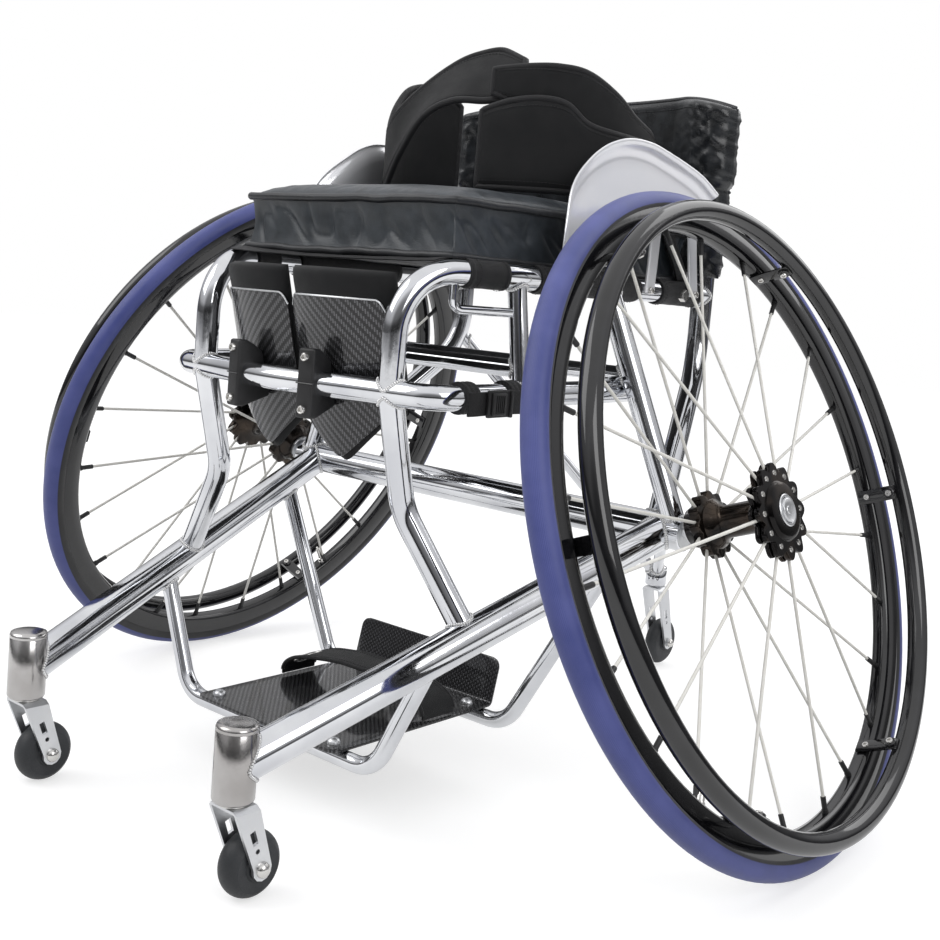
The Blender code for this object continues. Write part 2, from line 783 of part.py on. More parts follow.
def build_hoops(sides):
    """The two hoops that carry the foot plate hang from the main tubes."""
    ends = main_tube_ends()
    for name, top_y, corner in (
        ("front_foot_hoop", FRONT_HOOP_TOP_Y, FRONT_HOOP_CORNER),
        ("rear_foot_hoop", REAR_HOOP_TOP_Y, REAR_HOOP_CORNER),
    ):
        half = [on_line(*ends, 1, top_y), Vector(corner)]
        path = rounded_path(half + mirror_x(reversed(half), -1), (HOOP_BEND_RADIUS,) * 2)
        hoop = Tube(name, path, LIGHT_TUBE_RADIUS, LIGHT_SIDES)
        hoop.coped_by(*[tubes["main"] for tubes in sides])


def bored_barrel(name, place, radius, bottom, top, chamfer, bore, depth):
    """A capped barrel on a vertical axis, bored from below, and the cutter for what joins it."""
    x, y = place
    profile = [
        (0, top),
        (radius - chamfer, top),
        (radius, top - chamfer),
        (radius, bottom),
        (bore, bottom),
        (bore, bottom + depth),
        (0, bottom + depth),
    ]
    barrel = turned(name, profile, CASTER_STEPS, POLISHED, False, ROOT, (x, y, 0))
    mesh = rod_mesh(
        name + "_cutter", (x, y, bottom - radius), (x, y, top + radius), radius + WELD_GAP, ROUND_SIDES
    )
    return barrel, helper(name + "_cutter", mesh)


def build_caster_barrel(name, side):
    _, cutter = bored_barrel(
        name + "_caster_barrel",
        (side * CASTER_X, CASTER_Y),
        CASTER_BARREL_RADIUS,
        CASTER_BARREL_BOTTOM,
        CASTER_BARREL_TOP,
        CASTER_CAP_CHAMFER,
        STEM_RADIUS + RUNNING_GAP,
        STEM_LENGTH + RUNNING_GAP,
    )
    return cutter


def build_antitip_housing():
    _, cutter = bored_barrel(
        "antitip_housing",
        (0, ANTITIP_Y),
        ANTITIP_HOUSING_RADIUS,
        ANTITIP_JOINT_Z - ANTITIP_HOUSING_HALF,
        ANTITIP_JOINT_Z + ANTITIP_HOUSING_HALF,
        CASTER_CAP_CHAMFER,
        STEM_RADIUS + RUNNING_GAP,
        ANTITIP_STEM_LENGTH + RUNNING_GAP,
    )
    return cutter


def fork_side(top, trail, axle_z):
    """The fork seen from the side: wide at the crown, with a round end about the axle."""
    points = [(-FORK_CROWN_HALF, top + FORK_PLATE)]
    first, last, count = radians(172), radians(368), 7
    for i in range(count):
        angle = first + (last - first) * i / (count - 1)
        points.append((trail + FORK_TIP_RADIUS * cos(angle), axle_z + FORK_TIP_RADIUS * sin(angle)))
    points.append((FORK_CROWN_HALF, top + FORK_PLATE))
    return points


def fork_front(top, bottom, inner):
    """The fork seen from the front: one plate bent into a channel."""
    outer = inner + FORK_PLATE
    half = [
        (outer, bottom),
        (outer, top - FORK_BEND),
        (outer - FORK_BEND, top),
    ]
    inside = [(-inner, top - FORK_PLATE), (-inner, bottom)]
    return (
        half
        + [(-x, z) for x, z in reversed(half)]
        + list(reversed(inside))
        + [(-x, z) for x, z in inside]
    )


def build_fork(name, holder, top, stem_length, trail, axle_z, wheel_width):
    """A bent plate fork about its swivel axis, with two pierced legs and the swivel stem."""
    inner = wheel_width / 2 + WHEEL_SIDE_GAP
    across = 2 * (inner + FORK_PLATE)
    bottom = axle_z - 2 * FORK_TIP_RADIUS
    reach = 2 * (trail + 2 * FORK_TIP_RADIUS)
    front_view = prism_mesh(name, fork_front(top, bottom, inner), reach, "Y")
    fork = piece(name, front_view, SATIN, parent=holder)
    side_view = prism_mesh(name + "_side", fork_side(top, trail, axle_z), 2 * across, "X")
    boolean(fork, helper(name + "_side", side_view, parent=holder), "INTERSECT")
    stem_top = top + FORK_TOP_GAP + stem_length
    stem = rod_mesh(
        name + "_stem", (0, 0, top - FORK_PLATE / 2), (0, 0, stem_top), STEM_RADIUS, FRAME_SIDES
    )
    join(fork, helper(name + "_stem", stem, parent=holder))
    slot_width, slot_length = FORK_SLOT
    run = Vector((0, trail, axle_z - top))
    middle = Vector((0, 0, top)) + run * 0.48
    half = run.normalized() * (slot_length / 2)
    outer = Vector((across, 0, 0))
    slot_mesh = box_mesh(name + "_slot", (2 * across, 2 * slot_width, slot_length))
    slot = helper(name + "_slot", slot_mesh, middle, holder)
    slot.rotation_euler = (atan2(run.y, -run.z), 0, 0)
    hole_at = middle + half * 2
    hole = rod_mesh(name + "_hole", hole_at - outer, hole_at + outer, FORK_HOLE_RADIUS, LIGHT_SIDES)
    cut(fork, slot, helper(name + "_hole", hole, parent=holder))
    return fork


def caster_wheel_profile(radius, width, bore):
    """A domed tread, from the outer face over the crown to the inner face, and the bore."""
    shoulder = radius * 0.34
    rows = 6
    profile = []
    for i in range(rows + 1):
        across = width / 2 - width * i / rows
        sag = 1 - sqrt(max(0, 1 - (2 * across / width) ** 2 * 0.9))
        profile.append((radius - shoulder * sag, across))
    profile += [(bore, -width / 2), (bore, width / 2)]
    return profile


def axle_profile(half):
    """A headed axle bolt along its own axis."""
    tip = half + CASTER_AXLE_HEAD
    return [
        (0, tip),
        (CASTER_AXLE_HEAD_RADIUS * 0.75, tip),
        (CASTER_AXLE_HEAD_RADIUS, half),
        (CASTER_AXLE_RADIUS, half),
        (CASTER_AXLE_RADIUS, -half),
        (CASTER_AXLE_HEAD_RADIUS, -half),
        (CASTER_AXLE_HEAD_RADIUS * 0.75, -tip),
        (0, -tip),
    ]


def build_front_caster(name, side):
    top = CASTER_BARREL_BOTTOM - FORK_TOP_GAP
    swivel = empty(name + "_caster_swivel", (side * CASTER_X, CASTER_Y, 0))
    fork = build_fork(
        name + "_caster_fork",
        swivel,
        top,
        STEM_LENGTH,
        CASTER_TRAIL,
        CASTER_WHEEL_RADIUS,
        CASTER_WHEEL_WIDTH,
    )
    axle_at = Vector((0, CASTER_TRAIL, CASTER_WHEEL_RADIUS))
    reach = Vector((CASTER_WHEEL_WIDTH, 0, 0))
    bore = CASTER_AXLE_RADIUS + RUNNING_GAP
    hole = rod_mesh(name + "_fork_bore", axle_at - reach, axle_at + reach, bore, CASTER_STEPS)
    cut(fork, helper(name + "_fork_bore", hole, parent=swivel))
    spin = empty(name + "_caster_spin", axle_at, swivel, Matrix.Rotation(pi / 2, 3, "Y"))
    profile = caster_wheel_profile(CASTER_WHEEL_RADIUS, CASTER_WHEEL_WIDTH, bore)
    turned(name + "_caster_wheel", profile, CASTER_STEPS, CASTER_RUBBER, True, spin)
    half = CASTER_WHEEL_WIDTH / 2 + WHEEL_SIDE_GAP + FORK_PLATE + RUNNING_GAP
    turned(name + "_caster_axle", axle_profile(half), FRAME_SIDES, SATIN, False, spin)


def build_antitip_caster():
    bottom = ANTITIP_JOINT_Z - ANTITIP_HOUSING_HALF
    top = bottom - FORK_TOP_GAP
    axle_z = ANTITIP_WHEEL_RADIUS + ANTITIP_GROUND_GAP
    swivel = empty("antitip_swivel", (0, ANTITIP_Y, 0))
    fork = build_fork(
        "antitip_fork", swivel, top, ANTITIP_STEM_LENGTH, ANTITIP_TRAIL, axle_z, ANTITIP_WHEEL_WIDTH
    )
    axle_at = Vector((0, ANTITIP_TRAIL, axle_z))
    half = ANTITIP_WHEEL_WIDTH / 2 + WHEEL_SIDE_GAP + FORK_PLATE + CASTER_AXLE_HEAD
    reach = Vector((half, 0, 0))
    bolt = rod_mesh("antitip_bolt", axle_at - reach, axle_at + reach, CASTER_AXLE_RADIUS, CASTER_STEPS)
    join(fork, helper("antitip_bolt", bolt, parent=swivel))
    spin = empty("antitip_spin", axle_at, swivel, Matrix.Rotation(pi / 2, 3, "Y"))
    profile = caster_wheel_profile(
        ANTITIP_WHEEL_RADIUS, ANTITIP_WHEEL_WIDTH, CASTER_AXLE_RADIUS + RUNNING_GAP
    )
    turned("antitip_wheel", profile, CASTER_STEPS, CASTER_RUBBER, True, spin)


def wheel_frame(side):
    """Turned about local Z, which is the axle pointing outward; local Y points up the wheel."""
    outward = Vector((side * cos(CAMBER), 0, sin(CAMBER)))
    upward = Vector((-side * sin(CAMBER), 0, cos(CAMBER)))
    along = upward.cross(outward)
    return Matrix((along, upward, outward)).transposed()


def tyre_profile():
    """A round section whose foot drops between the rim walls."""
    seat = RIM_OUTER_RADIUS + RUNNING_GAP
    depth = TYRE_CENTRE_RADIUS - seat
    low = atan2(-depth, sqrt(TYRE_SECTION_RADIUS**2 - depth**2))
    profile = []
    steps = 6
    for i in range(steps + 1):
        angle = (pi - low) + (2 * low - pi) * i / steps
        profile.append(
            (
                TYRE_CENTRE_RADIUS + TYRE_SECTION_RADIUS * sin(angle),
                -TYRE_SECTION_RADIUS * cos(angle),
            )
        )
    foot_half = RIM_HALF_WIDTH - RIM_WALL - RUNNING_GAP
    foot = TYRE_CENTRE_RADIUS - TYRE_SECTION_RADIUS
    profile += [(seat, -foot_half), (foot, -foot_half), (foot, foot_half), (seat, foot_half)]
    return profile


def rim_profile():
    """A deep channel open towards the tyre."""
    bed = TYRE_CENTRE_RADIUS - TYRE_SECTION_RADIUS - 2 * RUNNING_GAP
    inner_half = RIM_HALF_WIDTH - RIM_WALL
    return [
        (RIM_OUTER_RADIUS, RIM_HALF_WIDTH),
        (RIM_OUTER_RADIUS, inner_half),
        (bed, inner_half),
        (bed, -inner_half),
        (RIM_OUTER_RADIUS, -inner_half),
        (RIM_OUTER_RADIUS, -RIM_HALF_WIDTH),
        (RIM_INNER_RADIUS, -RIM_HALF_WIDTH * 0.7),
        (RIM_INNER_RADIUS, RIM_HALF_WIDTH * 0.7),
    ]


def push_rim_profile():
    sides = LIGHT_SIDES
    return [
        (
            PUSH_RIM_RADIUS + PUSH_RIM_TUBE_RADIUS * sin(2 * pi * i / sides),
            PUSH_RIM_OFFSET + PUSH_RIM_TUBE_RADIUS * cos(2 * pi * i / sides),
        )
        for i in range(sides)
    ]


def hub_profile():
    """The hub's outside from its outer end to its inner end, then the bore."""
    bore = AXLE_RADIUS + RUNNING_GAP
    head = AXLE_HEAD_RADIUS + RUNNING_GAP
    seat = HUB_OUTER_END - AXLE_HEAD_LENGTH
    return [
        (head, HUB_OUTER_END),
        (OUTER_LUG_RADIUS * 0.62, HUB_OUTER_END),
        (OUTER_LUG_RADIUS, OUTER_FLANGE_OFFSET + 0.006),
        (OUTER_LUG_RADIUS, OUTER_FLANGE_OFFSET - 0.005),
        (DRUM_RADIUS, OUTER_FLANGE_OFFSET - 0.009),
        (BARREL_RADIUS, 0.014),
        (BARREL_RADIUS, -0.016),
        (DRUM_RADIUS, INNER_FLANGE_OFFSET + 0.008),
        (INNER_LUG_RADIUS, INNER_FLANGE_OFFSET + 0.005),
        (INNER_LUG_RADIUS, INNER_FLANGE_OFFSET - 0.005),
        (DRUM_RADIUS, INNER_FLANGE_OFFSET - 0.010),
        (DRUM_RADIUS * 0.8, HUB_INNER_END),
        (bore, HUB_INNER_END),
        (bore, seat),
        (head, seat),
    ]


def build_spokes(name, holder):
    """Straight spokes from the two flanges, in turn, to just inside the rim."""
    reach = RIM_INNER_RADIUS * cos(pi / WHEEL_STEPS) - WELD_GAP
    shape = bmesh.new()
    for i in range(SPOKE_COUNT):
        outer = i % 2 == 0
        angle = SPOKE_PHASE + 2 * pi * i / SPOKE_COUNT
        radial = Vector((cos(angle), sin(angle), 0))
        flange = OUTER_FLANGE_OFFSET if outer else INNER_FLANGE_OFFSET
        lug = OUTER_LUG_RADIUS if outer else INNER_LUG_RADIUS
        start = radial * (lug - 4 * SPOKE_RADIUS) + Vector((0, 0, flange))
        end = radial * reach + Vector((0, 0, SPOKE_RIM_OFFSET if outer else -SPOKE_RIM_OFFSET))
        span = end - start
        turn = span.to_track_quat("Z", "X").to_matrix().to_4x4()
        bmesh.ops.create_cone(
            shape,
            cap_ends=True,
            segments=5,
            radius1=SPOKE_RADIUS,
            radius2=SPOKE_RADIUS,
            depth=span.length,
            matrix=Matrix.Translation((start + end) / 2) @ turn,
        )
    return helper(name + "_spokes", mesh_from(name + "_spokes", shape), parent=holder)


def build_wheel(name, side):
    """One drive wheel about its cambered axle, with the axle and its release button."""
    centre = (side * WHEEL_TRACK_HALF, 0, WHEEL_Z)
    spin = empty(name + "_wheel_spin", centre, rotation=wheel_frame(side))
    turned(name + "_tyre", tyre_profile(), WHEEL_STEPS, TYRE_BLUE, True, spin)
    turned(name + "_rim", rim_profile(), WHEEL_STEPS, GLOSS_BLACK, True, spin)
    hub = turned(name + "_hub", hub_profile(), HUB_STEPS, GLOSS_BLACK, True, spin)
    join(hub, build_spokes(name, spin))
    push_rim = turned(name + "_push_rim", push_rim_profile(), WHEEL_STEPS, GLOSS_BLACK, True, spin)
    join(push_rim, build_tabs(name, spin))
    axle = [
        (BUTTON_RADIUS + RUNNING_GAP, HUB_OUTER_END + BUTTON_STANDS_OUT),
        (AXLE_HEAD_RADIUS, HUB_OUTER_END + BUTTON_STANDS_OUT),
        (AXLE_HEAD_RADIUS, HUB_OUTER_END - AXLE_HEAD_LENGTH + RUNNING_GAP),
        (AXLE_RADIUS, HUB_OUTER_END - AXLE_HEAD_LENGTH + RUNNING_GAP),
        (AXLE_RADIUS, AXLE_INNER_END),
        (0, AXLE_INNER_END),
    ]
    floor = HUB_OUTER_END - AXLE_HEAD_LENGTH * 0.75
    axle = [(0, floor), (BUTTON_RADIUS + RUNNING_GAP, floor)] + axle
    turned(name + "_axle", axle, HUB_STEPS, SATIN, False, spin)
    top = HUB_OUTER_END + 2 * BUTTON_STANDS_OUT
    button = [
        (0, top),
        (BUTTON_RADIUS * 0.86, top),
        (BUTTON_RADIUS, top - 0.001),
        (BUTTON_RADIUS, top - BUTTON_LENGTH),
        (0, top - BUTTON_LENGTH),
    ]
    turned(name + "_release_button", button, HUB_STEPS, SATIN, False, spin)
    build_camber_plug(name, side, spin)


def build_tabs(name, holder):
    """Six flat tabs from the push rim inward, that end one gap under the wheel rim."""
    flat = RIM_INNER_RADIUS * cos(pi / WHEEL_STEPS) - RUNNING_GAP
    length = PUSH_RIM_OFFSET - TAB_INNER_OFFSET
    shape = bmesh.new()
    for i in range(TAB_COUNT):
        angle = 2 * pi * i / TAB_COUNT
        middle = Vector((flat - TAB_THICKNESS / 2, 0, TAB_INNER_OFFSET + length / 2))
        turn = Matrix.Rotation(angle, 4, "Z") @ Matrix.Translation(middle)
        size = Matrix.Diagonal((TAB_THICKNESS, TAB_WIDTH, length, 1))
        bmesh.ops.create_cube(shape, size=1, matrix=turn @ size)
    return helper(name + "_tabs", mesh_from(name + "_tabs", shape), parent=holder)


def build_camber_plug(name, side, holder):
    """The plug fills the end of the camber bar and stands out along the axle to the hub."""
    inner = HEAVY_TUBE_RADIUS - TUBE_WALL - RUNNING_GAP
    start = Vector((side * (CAMBER_BAR_HALF - PLUG_DEPTH), 0, CAMBER_BAR_Z))
    end = Vector((side * (CAMBER_BAR_HALF + RUNNING_GAP), 0, CAMBER_BAR_Z))
    sides = ROUND_SIDES
    shrink = cos(pi / HEAVY_SIDES)
    body = rod_mesh(name + "_camber_plug", start, end, inner * shrink, sides)
    plug = piece(name + "_camber_plug", body, SATIN)
    outward = wheel_frame(side) @ Vector((0, 0, 1))
    centre = Vector((side * WHEEL_TRACK_HALF, 0, WHEEL_Z))
    collar_end = centre + outward * (HUB_INNER_END - RUNNING_GAP)
    face_x = CAMBER_BAR_HALF + RUNNING_GAP + PLUG_COLLAR_RADIUS * sin(CAMBER)
    collar_start = centre - outward * ((WHEEL_TRACK_HALF - face_x) / cos(CAMBER))
    collar = rod_mesh(name + "_collar", collar_start, collar_end, PLUG_COLLAR_RADIUS, ROUND_SIDES)
    neck = rod_mesh(
        name + "_neck",
        centre + outward * PLUG_NECK_START,
        collar_end,
        AXLE_RADIUS + PLUG_NECK_WALL,
        ROUND_SIDES,
    )
    join(plug, helper(name + "_collar", collar), helper(name + "_neck", neck))
    bore = rod_mesh(
        name + "_plug_bore",
        centre + outward * (AXLE_INNER_END - 2 * RUNNING_GAP),
        centre,
        AXLE_RADIUS + RUNNING_GAP,
        ROUND_SIDES,
    )
    cut(plug, helper(name + "_plug_bore", bore))


def build_footrest():
    """The carbon foot plate with its upturned rear flap, and the strap over it."""
    bottom = FOOT_HOOP_Z + LIGHT_TUBE_RADIUS + WELD_GAP
    side_view = [
        (PLATE_FRONT_Y, bottom),
        (PLATE_REAR_Y, bottom),
        (PLATE_REAR_Y + FLAP_LEAN, bottom + FLAP_HEIGHT),
    ]
    rows = [[Vector((x, y, z)) for x in (PLATE_HALF_WIDTH, -PLATE_HALF_WIDTH)] for y, z in side_view]
    mesh = surface_mesh("foot_plate", rows)
    shape = bmesh.new()
    shape.from_mesh(mesh)
    corners = [v for v in shape.verts if len(v.link_faces) == 1]
    bmesh.ops.bevel(shape, geom=corners, offset=PLATE_CORNER, segments=3, profile=0.5, affect="VERTICES")
    shape.to_mesh(mesh)
    shape.free()
    plate = piece("foot_plate", mesh, CARBON)
    solidify(plate, PLATE_THICKNESS)
    half = PLATE_HALF_WIDTH - FOOT_STRAP_INSET
    steps = 12
    front_y = FOOT_STRAP_Y - FOOT_STRAP_WIDTH / 2
    rear_y = FOOT_STRAP_Y + FOOT_STRAP_WIDTH / 2
    sections = []
    for i in range(steps + 1):
        angle = pi * i / steps
        x = half * cos(angle)
        lift = sin(angle) ** 0.7 if 0 < i < steps else 0
        section = []
        for y, extra in ((front_y, 0), (rear_y, 0), (rear_y, 1), (front_y, 1)):
            floor = bottom + PLATE_THICKNESS + SOFT_GAP
            z = floor + FOOT_STRAP_HEIGHT * lift + extra * FOOT_STRAP_THICKNESS
            section.append((x, y, z))
        sections.append(section)
    piece("foot_strap", band_mesh("foot_strap", sections), NEOPRENE)


def shell_point(side, across, z, depth):
    """A point on the knee shell's outer face, or inside it by a depth.

    across runs from -1 at the inner edge to 1 at the outer edge of the arc.
    """
    share = (z - KNEE_BAR_Z) / (SHELL_TOP_Z - KNEE_BAR_Z)
    bar = knee_bar_point(SHELL_CENTRE_X)
    front = bar.y + FRAME_TUBE_RADIUS + SHELL_BAR_GAP + SHELL_LEAN_Y * share
    angle = SHELL_YAW + across * SHELL_HALF_ANGLE
    radius = SHELL_ARC_RADIUS - depth
    x = SHELL_CENTRE_X + radius * (sin(angle)) - SHELL_ARC_RADIUS * sin(SHELL_YAW)
    y = front + SHELL_ARC_RADIUS - radius * cos(angle)
    return Vector((side * x, y, z))


def shell_low(across):
    return SHELL_TIP_Z + SHELL_EDGE_RISE * abs(across - SHELL_TIP_AT)


def curved_plate(name, side, columns, rows, overhang, rise, drop, near, far):
    """A closed plate between two depths behind the shell's outer face."""
    sections = []
    for j in range(rows + 1):
        ring = []
        for depth, order in ((near, range(columns + 1)), (far, range(columns, -1, -1))):
            for i in order:
                across = 2 * i / columns - 1
                low = shell_low(across) - drop
                z = low + (SHELL_TOP_Z + rise - low) * j / rows
                ring.append(shell_point(side, across * (overhang if across > 0 else 1), z, depth))
        sections.append(ring)
    return band_mesh(name, sections)


def build_knee_support(name, side):
    """A clamp round the knee bar carries the carbon shell, which the pad lines."""
    centre = knee_bar_point(side * KNEE_CLAMP_X)
    along = (knee_bar_point(side * KNEE_BAR_CORNER[0] * 0.7) - centre).normalized()
    if side < 0:
        along = -along
    bearing = Matrix.Rotation(atan2(along.y, along.x), 3, "Z")
    tilt = empty(name + "_knee_tilt", centre, rotation=bearing)
    steps = 8
    outline = []
    for i in range(steps + 1):
        angle = -pi / 2 + pi * i / steps
        depth = FRAME_TUBE_RADIUS + SHELL_BAR_GAP + KNEE_CLAMP_SEAT
        outline.append((depth * cos(angle), KNEE_CLAMP_HALF_HEIGHT * 0.72 * sin(angle)))
    outline += [(-0.006, KNEE_CLAMP_HALF_HEIGHT), (-KNEE_CLAMP_FRONT, KNEE_CLAMP_HALF_HEIGHT)]
    outline += [(-KNEE_CLAMP_FRONT, -KNEE_CLAMP_HALF_HEIGHT), (-0.006, -KNEE_CLAMP_HALF_HEIGHT)]
    mesh = prism_mesh(name + "_knee_clamp", outline, KNEE_CLAMP_WIDTH, "X")
    clamp = piece(name + "_knee_clamp", mesh, MATT_BLACK, parent=tilt)
    bore = (FRAME_TUBE_RADIUS + RUNNING_GAP) / cos(pi / ROUND_SIDES)
    reach = (KNEE_CLAMP_WIDTH, 0, 0)
    hole = rod_mesh(name + "_clamp_bore", -Vector(reach), reach, bore, ROUND_SIDES)
    seat = curved_plate(name + "_clamp_seat", side, 8, 4, 1.0, 0, 0, -WELD_GAP, PAD_THICKNESS)
    cut(clamp, helper(name + "_clamp_bore", hole, parent=tilt), helper(name + "_clamp_seat", seat))
    shell = curved_plate(name + "_knee_shell", side, 8, 4, 1.0, 0, 0, 0, SHELL_WALL)
    piece(name + "_knee_shell", shell, CARBON)
    near = SHELL_WALL + SOFT_GAP
    pad = curved_plate(
        name + "_knee_pad",
        side,
        6,
        4,
        PAD_OVERHANG,
        PAD_TOP_RISE,
        PAD_LOW_DROP,
        near,
        near + PAD_THICKNESS,
    )
    piece(name + "_knee_pad", pad, NEOPRENE)


def guard_x(y, z):
    """The left guard leans in towards its top and stands further out towards the rear."""
    return GUARD_FRONT_X + GUARD_TOE * max(0, y - GUARD_TOE_START) - GUARD_LEAN * (z - RAIL_Z)


def build_side_guard(name, side):
    """A thin plate beside the cushion with a lip rolled outward, on two legs from the seat rail."""
    rows = []
    for reach, flare in GUARD_LIP:
        row = []
        for rim, foot in zip(GUARD_RIM, GUARD_FOOT):
            rim, foot = Vector(rim), Vector(foot)
            y, z = rim + (foot - rim).normalized() * reach
            row.append(Vector((side * (guard_x(y, z) + flare), y, z)))
        rows.append(row)
    rows.append([Vector((side * guard_x(y, z), y, z)) for y, z in GUARD_FOOT])
    sheet = surface_mesh(name + "_side_guard", rows)
    guard = piece(name + "_side_guard", sheet, POLISHED)
    solidify(guard, GUARD_THICKNESS, offset=0.0)
    for index, leg in enumerate(GUARD_LEGS):
        mesh = guard_leg_mesh(f"{name}_guard_leg_{index}", side, *leg)
        join(guard, helper(f"{name}_guard_leg_{index}", mesh))


def guard_leg_mesh(name, side, foot_y, beside, top_y, top_z):
    """A flat strip from the outer side of the seat rail up to the guard's lower edge."""
    foot_x = rail_x(foot_y) + beside + GUARD_LEG_THICKNESS / 2
    foot = Vector((foot_x, foot_y, RAIL_Z - GUARD_LEG_THICKNESS))
    top = Vector((guard_x(top_y, top_z), top_y, top_z))
    bend = foot.lerp(top, 0.3)
    bend.x = foot_x + GUARD_LEG_THICKNESS / 2
    bend.z = RAIL_Z + GUARD_LEG_RISE
    sections = []
    for spot in (foot, bend, top):
        section = []
        for u, v in ((-1, -1), (1, -1), (1, 1), (-1, 1)):
            x = spot.x + u * GUARD_LEG_THICKNESS / 2
            y = spot.y + v * GUARD_LEG_WIDTH / 2
            section.append((side * x, y, spot.z))
        sections.append(section)
    return band_mesh(name, sections)


def build_sling(sides):
    """Cloth from rail to rail, over the front bends, held by sleeves round the rails."""
    lift = FRAME_TUBE_RADIUS + WELD_GAP + SLING_THICKNESS / 2
    path = rail_path(1)
    rows = []
    for before, point, after in zip(path, path[1:], path[2:]):
        if after.y > CUSHION_REAR_Y:
            break
        run = (after - before).normalized()
        out = Vector((0, -run.z, sqrt(max(0, 1 - run.z**2))))
        if run.z > 0.80:
            continue
        spot = point + out * lift
        rows.append([Vector((x * spot.x, spot.y, spot.z)) for x in (1, 0, -1)])
    rear = Vector((rail_x(CUSHION_REAR_Y), CUSHION_REAR_Y, RAIL_Z + lift))
    rows.append([Vector((x * rear.x, rear.y, rear.z)) for x in (1, 0, -1)])
    sling = piece("seat_sling", surface_mesh("seat_sling", rows), NEOPRENE)
    solidify(sling, SLING_THICKNESS, offset=0.0)
    outer = FRAME_TUBE_RADIUS + WELD_GAP + SLING_THICKNESS
    for name, side in (("left", 1), ("right", -1)):
        for index, (start_y, end_y) in enumerate(SLEEVE_SPANS):
            ends = [(sleeve_x(y), y, RAIL_Z) for y in (start_y, end_y)]
            mesh = sweep_mesh("sleeve", mirror_x(ends, side), outer, FRAME_SIDES)
            join(sling, helper(f"{name}_sleeve_{index}", mesh))
    cut(sling, *[tubes["rail"].cutter() for tubes in sides])
    cut(sling, *[tubes["seat_post"].cutter() for tubes in sides])
    cut(sling, *[tubes["strut"].cutter() for tubes in sides])


def sleeve_x(y):
    """The rail's place across the chair, also in front of its kink."""
    kink_x, kink_y = RAIL_KINK
    if y >= kink_y:
        return rail_x(y)
    joint = knee_bar_point(RAIL_FRONT_X)
    return kink_x + (joint.x - kink_x) * (y - kink_y) / (joint.y - kink_y)


def build_cushion():
    bottom = RAIL_Z + FRAME_TUBE_RADIUS + WELD_GAP + SLING_THICKNESS + SOFT_GAP

    def place(u, v, w):
        share = (v + 1) / 2
        half = CUSHION_FRONT_HALF + (CUSHION_REAR_HALF - CUSHION_FRONT_HALF) * share
        length = CUSHION_REAR_Y - CUSHION_FRONT_Y
        drawn = CUSHION_DRAW_IN * (1 - w * w)
        x = u * (half - drawn)
        y = CUSHION_FRONT_Y + length * share - v * drawn
        crown = CUSHION_CROWN * (1 - u * u) ** 0.6 * (1 - v * v) ** 0.6 if w > 0 else 0
        z = bottom + (CUSHION_SEAM_Z - bottom) * (w + 1) / 2 + crown * max(0, w)
        return Vector((x, y, z))

    cushion = piece("seat_cushion", grid_mesh("seat_cushion", (5, 5, 2), place), VINYL)
    soften(cushion)


def build_back(sides):
    """Padded upholstery slipped over the posts: rolls round them, with a fold hanging behind."""

    def place(u, v, w):
        z = BACK_BOTTOM_Z + (BACK_TOP_Z - BACK_BOTTOM_Z) * (w + 1) / 2
        folded = z > BACK_FOLD_Z
        roll = BACK_UPPER_ROLL if folded else BACK_LOWER_ROLL
        reach = BACK_POST_X + roll
        share = abs(u) ** 0.7
        x = reach * share * (1 if u > 0 else -1)
        y = BACK_POST_Y + BACK_SAG * max(0, cos(share * reach / BACK_POST_X * pi / 2))
        near_post = max(0, 1 - abs(share * reach - BACK_POST_X) / BACK_ROLL_BLEND)
        depth = BACK_PANEL / 2 + (roll * 1.12 - BACK_PANEL / 2) * min(1, 1.6 * near_post)
        if folded and v > 0:
            depth = max(depth, BACK_PANEL / 2 + BACK_FOLD)
        if abs(u) == 1:
            depth = roll * 0.55
        return Vector((x, y + v * depth, z))

    back = piece("back_upholstery", grid_mesh("back_upholstery", (12, 1, 3), place), VINYL)
    soften(back)
    cut(back, *[tubes["post"].cutter() for tubes in sides])


def belt_band_mesh(name, stops):
    """A padded band round the waist through stops of angle, spread, low, high and lean.

    The angle is 0 on the user's left, 90 degrees in front and 180 degrees on the right. Low and high
    are heights above the cushion, and a lean under 1 draws the upper edge in towards the middle.
    """
    sections = []
    for turn, spread, low, high, lean in stops:
        angle = radians(turn)
        edge = 0.003
        section = []
        for side, height in (
            (0, low),
            (1, low + edge),
            (1, high - edge),
            (0, high),
            (-1, high - edge),
            (-1, low + edge),
        ):
            share = (height - low) / (high - low)
            draw = 1 + (lean - 1) * share
            grow = spread + side * BELT_THICKNESS / 2
            x = (BELT_HALF_WIDTH * draw + grow) * cos(angle)
            y = BELT_CENTRE_Y - (BELT_HALF_DEPTH * draw + grow) * sin(angle)
            section.append((x, y, BELT_SEAT_Z + height))
        sections.append(section)
    return band_mesh(name, sections)


